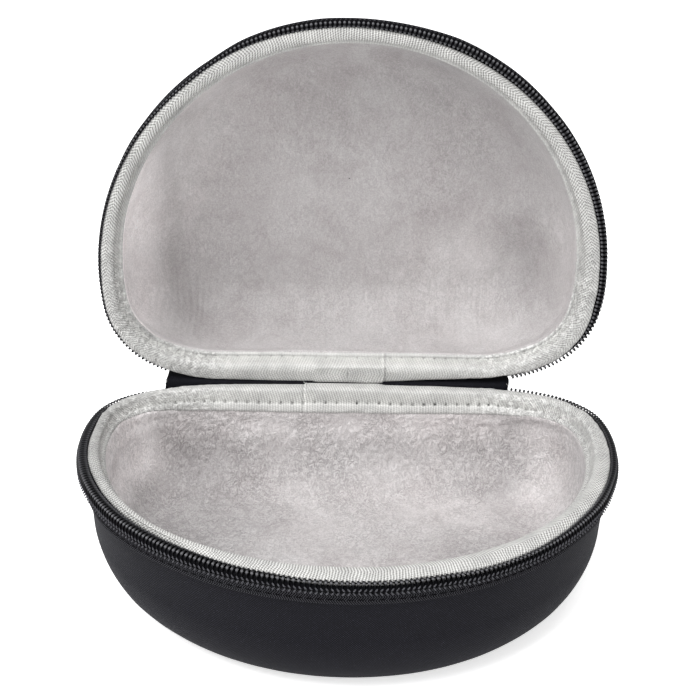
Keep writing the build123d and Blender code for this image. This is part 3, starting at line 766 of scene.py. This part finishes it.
def make_lining(half):
    ns = 860
    s = np.linspace(-HALF_LEN, HALF_LEN, ns, endpoint=False)
    e, r, lg = table(s, BIND_IN[half]), rear_weight(s), table(s, BIND_LEG[half])
    floor_d = 39.2 if half == "base" else 39.0
    prof = np.array([inner_profile(half, e[k], lg[k], r[k], 84 if half == "base" else 104) for k in range(ns)])
    inward, depth = prof[..., 0], prof[..., 1]
    nw = prof.shape[1]
    ring = at(np.repeat(s[:, None], nw, 1), -inward, depth)
    # the floor closes on a centre point
    cx, cy = 0.0, -63.0
    nf = 62
    k = np.linspace(1, 0.0, nf + 1)[1:]
    k[-1] = 0.004
    last = ring[:, -1]
    floor_pts = np.stack([cx + (last[:, 0:1] - cx) * k, cy + (last[:, 1:2] - cy) * k, np.full((ns, nf), floor_d)], -1)
    P = np.concatenate([ring, floor_pts], 1)
    nv = P.shape[1]
    # displacement along the surface normal
    du = np.roll(P, -1, 0) - np.roll(P, 1, 0)
    dv = np.gradient(P, axis=1)
    N = np.cross(du, dv)
    N /= np.linalg.norm(N, axis=2)[..., None] + 1e-9
    centre = np.array([0, -63, 20.0])
    N *= np.sign(((centre - P) * N).sum(2))[..., None]     # into the cavity
    seed = 0 if half == "base" else 40
    # padded skin: low swells, and creases where the cloth is pressed into the wall
    h = 0.50 * noise(P, 34.0, seed + 1) + 0.22 * noise(P, 13.0, seed + 2)
    rw = rear_weight(np.repeat(s[:, None], nv, 1)) * ramp01(P[..., 2], 5, 9) * (1 - ramp01(P[..., 2], 33, 39))
    warp = P + 1.6 * np.stack([noise(P, 5.0, seed + 21), noise(P, 5.0, seed + 22), noise(P, 5.0, seed + 23)], -1)
    ridged = 1 - np.abs(noise(warp, 3.0, seed + 5)) * 2.0
    ridged2 = 1 - np.abs(noise(warp, 2.0, seed + 6)) * 2.0
    amount = (0.24 if half == "base" else 0.06) * rw + 0.03
    h += amount * (ridged * 0.8 + ridged2 * 0.5)
    if half == "lid":
        # fine upright ridges where the lining turns over to the rear wall
        low = ramp01(P[..., 1], -34, -18) * ramp01(P[..., 2], 14, 24)
        h += 0.09 * low * np.sin(P[..., 0] * 2 * math.pi / 2.3 + 2.2 * noise(P, 9.0, 77))
    else:
        # shallow cross creases on the floor, and one light pressed line at the left
        fl = ramp01(P[..., 2], 30, 37)
        h += 0.07 * fl * ramp01(P[..., 1], -78, -62) * (1 - ramp01(P[..., 1], -46, -34)) * np.sin(P[..., 1] * 2 * math.pi / 3.1 + 1.8 * noise(P, 16.0, 78))
        ax, ay, bx, by = CREASE
        tt = np.clip(((P[..., 0] - ax) * (bx - ax) + (P[..., 1] - ay) * (by - ay)) / ((bx - ax) ** 2 + (by - ay) ** 2), 0, 1)
        dist = np.hypot(P[..., 0] - ax - tt * (bx - ax), P[..., 1] - ay - tt * (by - ay))
        h += 0.35 * np.exp(-((dist / 0.45) ** 2)) * ramp01(P[..., 2], 15, 20)
    edge = ramp01(np.arange(nv)[None] / nv, 0.0, 0.05) if half == "base" else 0.45 * ramp01(np.arange(nv)[None] / nv, 0.0, 0.01) + 0.55 * ramp01(np.arange(nv)[None] / nv, 0.01, 0.06)
    P = P + N * (h * edge)[..., None]
    lens = np.concatenate([np.zeros((ns, 1)), np.cumsum(np.linalg.norm(np.diff(P, axis=1), axis=2), axis=1)], 1)
    uv = np.stack([np.repeat(s[:, None], nv, 1), lens], -1)
    depth01 = np.broadcast_to(np.linspace(0, 1, nv)[None], lens.shape)
    zone = np.stack([depth01, np.full_like(lens, 1.0 if half == "lid" else 0.0)], -1)
    # its tone holds brushed-pile patches together with painted light and shade
    ob = grid_object(f"{half}_velvet_lining", place(P, half), uv, wrap_u=True, flip=(half == "lid"), zone=zone, tone=nap_and_painted_light(P, half))
    ob.data.materials.append(VELVET)
    return ob


def outer_profile(half, r, n=68):
    """Cover profile (inset, depth) for rear weight r."""
    pts = [(0.75, 1.7), (0.45, 2.2), (0.45, 6.0), (0.47, 9.5)]
    if half == "base":
        wall_in, corner_w = 1.2 - 0.6 * r, 17.6 - 10.6 * r
        pts += [(0.70 - 0.12 * r, 14.5), (wall_in, 21.5)]
        for deg in (10, 20, 30, 40, 50, 60, 70, 80, 90):
            a = math.radians(deg)
            pts.append((wall_in + corner_w * (1 - math.cos(a)), 21.5 + (DEPTH - 21.5) * math.sin(a)))
    else:
        for d in (12.5, 16.0, 20.0, 24.0, 28.0, 32.0, 35.5, 38.5, 41.0, 43.0, 44.3, 45.0):
            run = d - 9.5
            over = 1 - math.sqrt(max(0.0, 1 - (run / (DEPTH - 9.5)) ** 2))
            side = 0.45 + 0.17 * run + 20.0 * over
            t = max(d - 21.5, 0) / (DEPTH - 21.5)
            rear = 0.45 + 0.0125 * min(run, 12.0) + 12.0 * (1 - math.sqrt(max(0.0, 1 - t * t)))
            pts.append((side * (1 - r) + rear * r, d))
    return catmull(pts, n)


def make_cover(half):
    ns = 720
    s = np.linspace(-HALF_LEN, HALF_LEN, ns, endpoint=False)
    r = rear_weight(s)
    p0, p1 = outer_profile(half, 0.0), outer_profile(half, 1.0)
    prof = p0[None] * (1 - r)[:, None, None] + p1[None] * r[:, None, None]
    nw = prof.shape[1]
    ring = at(np.repeat(s[:, None], nw, 1), -prof[..., 0], prof[..., 1])
    cx, cy, nf = 0.0, -63.0, 26
    k = np.linspace(1, 0.0, nf + 1)[1:]
    k[-1] = 0.004
    last = ring[:, -1]
    floor_pts = np.stack([cx + (last[:, 0:1] - cx) * k, cy + (last[:, 1:2] - cy) * k, np.full((ns, nf), DEPTH)], -1)
    P = np.concatenate([ring, floor_pts], 1)
    nv = P.shape[1]
    du = np.roll(P, -1, 0) - np.roll(P, 1, 0)
    dv = np.gradient(P, axis=1)
    N = np.cross(du, dv)
    N /= np.linalg.norm(N, axis=2)[..., None] + 1e-9
    N *= np.sign(((P - np.array([0, -63, 15.0])) * N).sum(2))[..., None]
    fade = ramp01(P[..., 2], 8, 16) * (1 - ramp01(P[..., 2], 43.0, 44.9))
    h = 0.20 * noise(P, 30.0, 61 if half == "base" else 62) + 0.05 * noise(P, 9.0, 63)
    P = P + N * (h * fade - 0.05)[..., None]
    P[..., 2] = np.minimum(P[..., 2], DEPTH)
    lens = np.concatenate([np.zeros((ns, 1)), np.cumsum(np.linalg.norm(np.diff(P, axis=1), axis=2), axis=1)], 1)
    uv = np.stack([np.repeat(s[:, None], nv, 1), lens], -1)
    ob = grid_object(f"{half}_outer_cover", place(P, half), uv, wrap_u=True, flip=(half == "base"))
    ob.data.materials.append(TWILL)
    return ob


COIL_END_S = HALF_LEN - 62.0


def wall_low(s, half):
    """How far the tape's lower edge stands off the outline."""
    f = table(s, COIL_OUT[half])
    if half == "lid":
        return -0.22 + 0.2 * np.clip(f - 1.6, 0, 2.2)
    extra = 0.45 * np.clip(f - 1.6, 0, 2.2)
    if half == "base":
        extra = extra + table(s, [(-245, 0.0), (-140, 0.0), (-118, 0.3), (-104, 0.5), (-90, 1.0), (-75, 0.7), (-50, 0.0), (80, 0.0), (95, 0.3), (110, 0.0), (245, 0.0)])
    return 0.25 + extra


def make_tape(half):
    """Woven tape under the coil, with a corded lower edge, round the rim."""
    end = HALF_LEN - 59.5
    ns = 900
    s = np.linspace(-end, end, ns)
    f = table(s, COIL_OUT[half])
    low_n = wall_low(s, half)
    top = table(s, TAPE_TOP[half])
    drop = table(s, COIL_DROP[half])
    behind = table(s, BIND_OUT[half]) - 0.30 + 2.0 * (1 - ramp01(np.abs(s), 156, 170))
    prof = []
    # sight line over the lid's rim: how far out a mm of depth shows
    seen = table(s, [(-140, 0.0), (-100, 0.03), (-80, 0.106), (-60, 0.176), (-40, 0.234), (-20, 0.271), (0, 0.281), (20, 0.261), (40, 0.215), (60, 0.151), (80, 0.078), (100, 0.0), (140, 0.0)])
    smooth = ramp01(s, -110, -90) * (1 - ramp01(s, 104, 124)) if half == "lid" else 0.0 * s
    ridge = f + 0.12 - 1.15 * seen
    for fi, low, tp, dr, bh, rg, sm in zip(f, low_n, top, drop, behind, ridge, smooth):
        base = min(max(-0.2, fi - 2.15), bh)
        pts = [(base - 0.25, tp + 0.15 + dr), (base + 0.15, tp + dr), (base + 0.25, tp + 0.9 + dr), (base + 0.2, 4.4 + dr), ((0.5 * (base + low) + 0.1) * (1 - sm) + rg * sm, (6.2 + 0.4 * dr) * (1 - sm) + 5.2 * sm), (low + 0.10, 7.6),
               (low + 0.22, 8.1), (low + 0.26, 8.45), (low + 0.08, 8.8), (low - 0.25, 8.85), (low - 0.7, 8.5), (-0.55, 7.5)]
        prof.append(catmull(pts, 44))
    prof = np.array(prof)
    P = at(np.repeat(s[:, None], 44, 1), prof[..., 0], prof[..., 1])
    length = np.concatenate([np.zeros((ns, 1)), np.cumsum(np.hypot(np.diff(prof[..., 0], axis=1), np.diff(prof[..., 1], axis=1)), axis=1)], 1)
    uv = np.stack([np.repeat(s[:, None], 44, 1), length], -1)
    ob = grid_object(f"{half}_zipper_tape", place(P, half), uv, flip=(half == "base"))
    ob.data.materials.append(TAPE)
    return ob


COIL_LEFT, COIL_RIGHT = -(HALF_LEN - 64.6), HALF_LEN - 59.1


def coil_range(half):
    n = int((COIL_RIGHT - COIL_LEFT) / PITCH)
    shift = 0.0 if half == "base" else 0.5
    return COIL_RIGHT - 0.6 - (np.arange(n)[::-1] + shift) * PITCH


def coil_span(s, half):
    """Wall side and outer side of the loops, out of the outline."""
    f, bo = table(s, COIL_OUT[half]), table(s, BIND_OUT[half])
    outer = f - 0.30
    inner = np.clip(bo + 0.15, outer - (3.3 if half == "base" else 2.5), outer - 0.75)
    return inner, outer


def outward(s, half):
    x, y, nx, ny = outline(s)
    u = place(np.stack([nx, ny, np.zeros_like(nx)], -1), half) - place(np.zeros((1, 3)), half)
    return u / np.linalg.norm(u, axis=-1)[..., None]


def make_coil(half):
    """Helical nylon monofilament, one loop per tooth, heads pressed wide."""
    starts = coil_range(half)
    u = np.linspace(0, 1, 24, endpoint=False)
    # one turn: (share, ds, across 0 = wall side 1 = outer, depth)
    key = np.array([
        (0.00, 0.00, 0.00, 4.15), (0.14, 0.00, 0.00, 3.00), (0.28, 0.00, 0.02, 1.50), (0.36, 0.02, 0.10, 0.80), (0.43, 0.06, 0.50, 0.42), (0.50, 0.10, 0.90, 0.80),
        (0.58, 0.14, 0.98, 1.50), (0.72, 0.34, 1.00, 3.00), (0.84, 0.55, 0.97, 4.05), (0.92, 1.00, 0.50, 4.50), (1.00, PITCH, 0.00, 4.15)])
    ds, ac, dp = (np.interp(u, key[:, 0], key[:, k]) for k in (1, 2, 3))
    head = np.exp(-((u - 0.43) / 0.085) ** 2)
    S = np.minimum((starts[:, None] + ds[None]).ravel(), HALF_LEN - 59.05)
    inner, outer = coil_span(S, half)
    n = inner + (outer - inner) * np.tile(ac, len(starts))
    drop = table(S, COIL_DROP[half])
    P = at(S, n, np.tile(dp, len(starts)) + drop)
    path = place(P, half)
    x, y, nx, ny = outline(S)
    side = place(np.stack([-ny, nx, np.zeros_like(nx)], -1), half) - place(np.zeros((1, 3)), half)
    hw = np.tile(head, len(starts))
    edge = np.tile(np.exp(-((u - 0.365) / 0.030) ** 2) + np.exp(-((u - 0.50) / 0.030) ** 2), len(starts))
    v, fcs = tube(path, side, (0.27 + 0.09 * hw + 0.13 * edge) * 1e-3, (0.27 + 0.08 * edge) * 1e-3, 7)
    # painted highlights on the ends of the heads, strongest at the front, less so at the sides, where the loops get a
    # little painted light, more on the left
    painted_glint = edge
    if half == "base":
        side_on = ramp01(np.abs(S), 92, 122) * (1 - ramp01(np.abs(S), 168, 190))
        painted_glint = edge * (1 - 0.60 * ramp01(np.abs(S), 88, 122)) + np.where(S < 0, 0.11, 0.05) * side_on
    ob = new_mesh(f"{half}_zipper_coil", v, fcs, zone=np.repeat(np.stack([painted_glint, hw], -1), 7, axis=0))
    ob.data.materials.append(COIL)
    # filler cord inside the loops
    sc = np.linspace(COIL_LEFT, COIL_RIGHT - 0.4, 5200)
    inner, outer = coil_span(sc, half)
    top = 0.95 + np.clip(table(sc, TAPE_TOP[half]) - 1.3, 0, 2)
    dc = table(sc, COIL_DROP[half])
    centre_d = 0.5 * (top + 4.45) + dc
    # towards the ends of the zipper it lies back, and the heads stand free
    hide = ramp01(np.abs(sc), 152, 176)
    low_n, high_n = inner - 0.16 - 0.1 * hide, (outer + (0.04 if half == "base" else 0.31)) * (1 - hide) + (inner + 0.15) * hide
    pc = place(at(sc, 0.5 * (low_n + high_n), centre_d), half)
    x, y, nx, ny = outline(sc)
    sd = place(np.stack([np.zeros_like(nx), np.zeros_like(nx), np.ones_like(nx)], -1), half) - place(np.zeros((1, 3)), half)
    # it is spun of two strands, which shows as fine ridges
    spun = 1 - (0.05 + 0.10 * ramp01(np.abs(sc), 88, 118)) * (0.5 + 0.5 * np.cos(sc * 2 * math.pi / (0.5 * PITCH)))
    v, fcs = tube(pc, sd, 0.5 * (4.45 - top) * spun * 1e-3, 0.5 * (high_n - low_n) * spun * 1e-3, 14)
    if half == "base":
        # a thread laid along the heads at the front
        st_s = np.linspace(-75, 95, 420)
        inner, outer = coil_span(st_s, half)
        lane = place(at(st_s, inner + 0.18, 1.32 + table(st_s, COIL_DROP[half]) + 0.05 * np.sin(st_s * 2 * math.pi / PITCH)), half)
        sv = np.broadcast_to(np.array([0.0, 0.0, 1.0]), lane.shape)
        v, fcs = merge([(v, fcs), tube(lane, sv, 0.21e-3, 0.21e-3, 8)])
    cord = new_mesh(f"{half}_coil_cord", v, fcs)
    cord.data.materials.append(BLACK_THREAD)
    # the cord is lighter grey along the sides
    if half == "base":
        cord.data.materials.append(SIDE_CORD_THREAD)
        lighter_parts = [0] * len(fcs)
        for k in range((len(sc) - 1) * 14):
            lighter_parts[k] = 1 if abs(sc[k // 14]) > 112 else 0
        cord.data.polygons.foreach_set("material_index", lighter_parts)
    # two rows of slanted stitches that hold the loops on the tape
    parts = []
    for row, (d0, d1, lean) in enumerate(((2.35, 3.30, 0.42), (3.55, 4.60, -0.42))):
        c = starts + 0.55
        _, fo = coil_span(c, half)
        fo = fo + (0.30 if half == "base" else 0.16)
        dr = table(c, COIL_DROP[half])
        turn = np.where(c < 0, 1.0, -1.0)
        A = place(at(c - lean * turn, fo - 0.02, d0 + dr), half)
        B = place(at(c + lean * turn, fo - 0.02, d1 + dr), half)
        U = outward(c, half)
        for a, b, uu in zip(A, B, U):
            parts.append(capsule(a, b, uu, 0.27e-3, 0.22e-3 if half == "base" else 0.13e-3))
    v, fcs = merge(parts)
    st = new_mesh(f"{half}_coil_stitches", v, fcs)
    st.data.materials.append(GREY_THREAD if half == "base" else DARK_THREAD)
    return ob, cord, st


def make_binding_stitches(half):
    """Lockstitch along the inner edge of the binding."""
    step = 4.0
    n = int(2 * HALF_LEN / step)
    c = (np.arange(n) - n / 2) * step + step / 2
    e = table(c, BIND_IN[half]) - 1.15
    parts = []
    deep = seam_depth(table(c, BIND_LEG[half])) + 0.25
    A = place(at(c - 1.30, -e + 0.02, deep), half)
    B = place(at(c + 1.30, -e + 0.02, deep), half)
    mid = place(at(c, -e, 3.2), half) - place(at(c, -e, 4.2), half)
    for a, b, uu in zip(A, B, mid):
        parts.append(capsule(a, b, uu / np.linalg.norm(uu), 0.17e-3, 0.13e-3, 6, 6))
    # where the ends of the binding meet, a row of stitches across it and loose ends of thread
    side_x = -15.3 if half == "base" else 12.9
    for k in range(4):
        p0, p1 = 1.0 + 1.35 * k, 1.95 + 1.35 * k
        dd = 0.19 if k < 3 else 0.27
        a = place(np.array([side_x + 0.7, -p0, dd]), half)
        b = place(np.array([side_x + 0.7, -p1, dd]), half)
        parts.append(capsule(a, b, mid[0] / np.linalg.norm(mid[0]), 0.15e-3, 0.12e-3, 6, 6))
    if half == "base":
        for q in (((-15.0, 0.1, 0.9), (-15.6, -0.2, 0.35), (-15.1, -1.0, 0.22)), ((57.6, 0.3, 2.4), (58.3, 0.5, 1.2), (57.9, 0.2, 0.2)), ((-65.6, 0.1, 1.9), (-65.0, 0.4, 1.0), (-65.4, 0.3, 0.3))):
            line = place(catmull(np.array(q), 9), half)
            parts.append(tube(line, np.broadcast_to(np.array([0.0, 1.0, 0.0]), line.shape), 0.13e-3, 0.13e-3, 6))
    v, fcs = merge(parts)
    ob = new_mesh(f"{half}_binding_stitches", v, fcs)
    ob.data.materials.append(LIGHT_THREAD)
    return ob


def make_tape_stitches(half):
    """Row of stitches that sews the tape's lower edge to the cover."""
    step = 3.0
    end = HALF_LEN - 61
    n = int(2 * end / step)
    c = (np.arange(n) - n / 2) * step + step / 2
    low = wall_low(c, half)
    A = place(at(c - 1.1, low + 0.12, 7.35), half)
    B = place(at(c + 1.1, low + 0.12, 7.35), half)
    parts = [capsule(a, b, u, 0.14e-3, 0.10e-3, 6, 5) for a, b, u in zip(A, B, outward(c, half))]
    v, fcs = merge(parts)
    ob = new_mesh(f"{half}_tape_stitches", v, fcs)
    ob.data.materials.append(BLACK_THREAD)
    return ob


def nap_and_painted_light(P, half):
    """Brightness of the velvet (half frame, mm): patches where its pile is brushed another way, mixed with painted
    light and shade; the walls by the binding are painted lighter, and other patches are painted darker or lighter where
    light falls.
    """
    q = P + 5.0 * np.stack([noise(P, 12.0, 95), noise(P, 12.0, 96), noise(P, 12.0, 97)], -1)
    x, y = q[..., 0], q[..., 1]
    d = P[..., 2]
    if half == "lid":
        # patches of brushed pile and of painted light and shade; the whole lid lining is painted a little darker than
        # the base's
        spots = ((0, -104, 42, 24, -0.12), (62, -86, 26, 24, -0.10), (-64, -84, 30, 28, 0.20), (-62, -58, 26, 26, 0.10), (50, -28, 36, 18, 0.24), (-76, -36, 10, 9, -0.12), (0, -22, 40, 12, 0.04))
        t = np.full(x.shape, 0.87)
        more = ((66, -40, 10, 13, -0.20), (66, -26, 12, 12, -0.25), (34, -120, 14, 9, -0.20), (32, -108, 20, 14, -0.18), (-61, -50, 8, 16, 0.11), (-76, -38, 8, 18, 0.20), (40, -7, 22, 6, 0.09), (80, -50, 8, 14, 0.15), (-48, -104, 15, 12, 0.12), (0, -10, 62, 7, 0.06), (-18, -46, 30, 20, 0.03), (-42, -62, 14, 26, -0.09))
        # painted light on the lid's left wall by the binding, which faces away from the key light
        wall = 0.98 * ramp01(-P[..., 0], 63, 77) * ramp01(P[..., 1], -98, -76) * (1 - 0.7 * ramp01(P[..., 1], -22, -10))
    else:
        # patches of brushed pile and of painted light and shade
        spots = ((-64, -76, 26, 34, -0.28), (58, -70, 26, 28, -0.33), (0, -108, 62, 16, -0.21), (4, -60, 34, 16, 0.15), (48, -22, 36, 16, 0.27), (-40, -104, 26, 14, -0.20))
        t = np.full(x.shape, 0.99)
        more = ((-49, -22, 15, 26, -0.25), (58, -20, 14, 15, -0.22), (46, -5, 16, 8, 0.14), (24, -34, 22, 15, -0.08), (-5, -57, 54, 14, -0.18), (-64, -50, 8, 18, -0.22), (-48, -58, 14, 10, -0.12),
                (42, -14, 13, 5, -0.15), (57, -13, 8, 7, -0.15), (42, -6, 11, 4, -0.12), (70, -16, 9, 10, 0.14), (-33, -36, 12, 10, -0.14), (-48, -48, 12, 9, -0.11))
        # painted light on the top of the rear wall, in the shade of the lid and binding, and on the left wall
        rear = (0.58 + 0.25 * np.exp(-(((P[..., 0] + 46) / 16) ** 2))) * (1 - ramp01(d, 11, 25)) * ramp01(P[..., 1], -17, -9) * (1 - 0.6 * ramp01(P[..., 0], 46, 60))
        left = 0.95 * ramp01(-P[..., 0], 60, 74) * (1 - ramp01(d, 24, 36)) * ramp01(P[..., 1], -80, -60)
        wall = np.maximum(rear, left)
    for cx, cy, rx, ry, amount in spots:
        t = t + amount * np.exp(-(((x - cx) / rx) ** 2 + ((y - cy) / ry) ** 2))
    for cx, cy, rx, ry, amount in more:
        t = t * (1 + amount * np.exp(-(((x - cx) / rx) ** 2 + ((y - cy) / ry) ** 2)))
    return t * (1 + wall)


pieces = {}
for half in ("base", "lid"):
    cover = make_cover(half)
    lining = make_lining(half)
    binding = make_binding(half)
    tape = make_tape(half)
    coil, cord, coil_st = make_coil(half)
    bind_st = make_binding_stitches(half)
    tape_st = make_tape_stitches(half)
    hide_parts(f"{half}_outer_fabric", f"{half}_foam_shell")
    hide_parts(f"{half}_lining")
    # the binding's raised overlap at the hinge is the light tab
    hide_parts(f"{half}_rim_binding", f"{half}_hinge_tab")
    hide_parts(f"{half}_zipper_tape")
    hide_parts(f"{half}_zipper_coil")
    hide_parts(f"{half}_coil_cord")
    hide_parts(f"{half}_coil_thread")
    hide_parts(f"{half}_binding_seam_thread")
    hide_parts(f"{half}_tape_seam_thread")
    for ob, slot in ((cover, "outer_fabric"), (lining, "velvet"), (binding, "binding"), (tape, "zip_tape"), (coil, "coil"), (cord, "zip_tape"),
                     (coil_st, "dark_thread"), (bind_st, "light_thread"), (tape_st, "dark_thread")):
        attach(ob, half)
    pieces[half] = dict(cover=cover, lining=lining, binding=binding)


# =============================================================================
# Hinge strip: one sheet, sewn to both rear walls, folded where the lid turns
# =============================================================================
STRIP_L, STRIP_R = -65.3, 58.5


def make_strip():
    t_half = 0.4
    nx, nk = 150, 64
    # path in the y-z plane (row frame, mm): up the base's rear wall, round the fold, back along the lid's
    path = np.array([(65.05, 28.3), (65.06, 34.0), (65.08, 39.5), (65.12, 42.6), (65.45, 44.0), (66.4, 44.75), (68.0, 44.95), (71.0, 45.12), (76.0, 45.42), (81.6, 45.75)])
    mid = catmull(path, nk)
    tan = np.gradient(mid, axis=0)
    tan /= np.linalg.norm(tan, axis=1)[:, None]
    nor = np.stack([tan[:, 1], -tan[:, 0]], -1)          # to the rear and below
    slant = ramp01(np.arange(nk) / nk, 0.40, 0.62)
    P = []
    for side in (-t_half, t_half):
        rows = []
        for k in range(nk):
            left = STRIP_L - 0.3 + 0.8 * slant[k]          # its cut end runs slantwise
            right_end = STRIP_R + 0.5 * math.sin(k * 0.21)
            x = np.linspace(left, right_end, nx)
            wob = 0.12 * noise(np.stack([x, np.full(nx, mid[k, 0]), np.full(nx, mid[k, 1])], -1), 9.0, 71)
            q = mid[k][None] + nor[k][None] * (side + 0.35 + wob[:, None])
            rows.append(np.stack([x, q[:, 0], q[:, 1]], -1))
        P.append(np.array(rows))
    loop = np.concatenate([P[0], P[1][::-1]], 0)          # closed round in v
    nv = loop.shape[0]
    grid = np.transpose(loop, (1, 0, 2)) * 0.001           # (nx, nv, 3)
    lens = np.linspace(0, 45, nk)
    vv = np.concatenate([lens, lens[::-1]])
    uv = np.stack([np.transpose(loop, (1, 0, 2))[..., 0], np.repeat(vv[None], nx, 0)], -1)
    faces = [tuple(f) for f in grid_faces(nx, nv, wrap_v=True)]
    faces.append(tuple(range(nv)))
    faces.append(tuple((nx - 1) * nv + k for k in range(nv - 1, -1, -1)))
    ob = new_mesh("hinge_strip", grid.reshape(-1, 3), faces, uv.reshape(-1, 2))
    ob.data.materials.append(TWILL)
    return ob


strip = make_strip()
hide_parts("base_hinge_leaf", "lid_hinge_leaf")
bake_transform(strip)

for side in ("left", "right"):
    for node, mat in (("tail_tape", TAPE), ("tail_chain", CHAIN), ("end_stop", METAL), ("slider_body", METAL), ("pull_link", METAL), ("pull_tab", METAL)):
        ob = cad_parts[f"{side}_{node}"]
        ob.data.materials.clear()
        ob.data.materials.append(mat)

# the cloth of the right tail, cut off under the hinge strip's end
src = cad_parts["right_tail_tape"]
tail = [src.matrix_world @ v.co for v in src.data.vertices]
tail = [(p.x if p.x < 0.0570 else 0.0570 + 0.35 * (p.x - 0.0570), p.y, p.z) for p in tail]
tail = new_mesh("right_tail_cloth", tail, [tuple(f.vertices) for f in src.data.polygons], smooth=False)
tail.data.materials.append(TAPE)
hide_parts("right_tail_tape")
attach(tail, "base")

# =============================================================================
# Floor, light and camera
# =============================================================================
fl = new_mesh("floor", [(-6, -6, 0), (6, -6, 0), (6, 6, 0), (-6, 6, 0)], [(0, 1, 2, 3)], smooth=False)
fl.location.z = -0.0002
fl.data.materials.append(FLOOR)


def area(name, loc, target, size, power, color=(1, 1, 1)):
    l = bpy.data.lights.new(name, "AREA")
    l.shape = "RECTANGLE"
    l.size, l.size_y = size
    l.energy = power
    l.color = color
    o = bpy.data.objects.new(name, l)
    bpy.context.scene.collection.objects.link(o)
    o.location = loc
    o.rotation_euler = (Vector(target) - Vector(loc)).to_track_quat("-Z", "Y").to_euler()
    return o


area("key", (-0.50, -0.50, 1.10), (0, 0.02, 0.06), (0.9, 0.8), 17.0)
area("front_fill", (-0.5, -1.4, 0.45), (0, 0, 0.08), (1.2, 0.8), 5.0)
area("top", (0.1, -0.05, 1.3), (0, 0.0, 0.05), (0.9, 0.9), 6.0)

world = bpy.data.worlds.new("studio")
bpy.context.scene.world = world
world.use_nodes = True
world.node_tree.nodes["Background"].inputs[0].default_value = (1, 1, 1, 1)
world.node_tree.nodes["Background"].inputs[1].default_value = 0.62

bpy.context.scene.view_settings.view_transform = "Standard"

# camera at the photographed angle
CAM_R, CAM_E, CAM_YAW, CAM_ROLL = 536.56, 24.12, -1.18, 1.27
target = np.array([0.5, -17.4 + HINGE_Y, 20.25 + PART_Z])
e, yw, rl = (math.radians(v) for v in (CAM_E, CAM_YAW, CAM_ROLL))
pos = target + CAM_R * np.array([math.sin(yw) * math.cos(e), -math.cos(yw) * math.cos(e), math.sin(e)])
fwd = (target - pos) / np.linalg.norm(target - pos)
right = np.cross(fwd, [0, 0, 1.0])
right /= np.linalg.norm(right)
up = np.cross(right, fwd)
r2 = right * math.cos(rl) + up * math.sin(rl)
u2 = -right * math.sin(rl) + up * math.cos(rl)
cam_data = bpy.data.cameras.new("camera")
cam_data.lens = 1551.0 / 700 * 36
cam_data.sensor_width = 36
cam_data.clip_start, cam_data.clip_end = 0.01, 50
cam = bpy.data.objects.new("camera", cam_data)
bpy.context.scene.collection.objects.link(cam)
cam.matrix_world = Matrix(((r2[0], u2[0], -fwd[0], pos[0] / 1000), (r2[1], u2[1], -fwd[1], pos[1] / 1000), (r2[2], u2[2], -fwd[2], pos[2] / 1000), (0, 0, 0, 1)))
bpy.context.scene.camera = cam
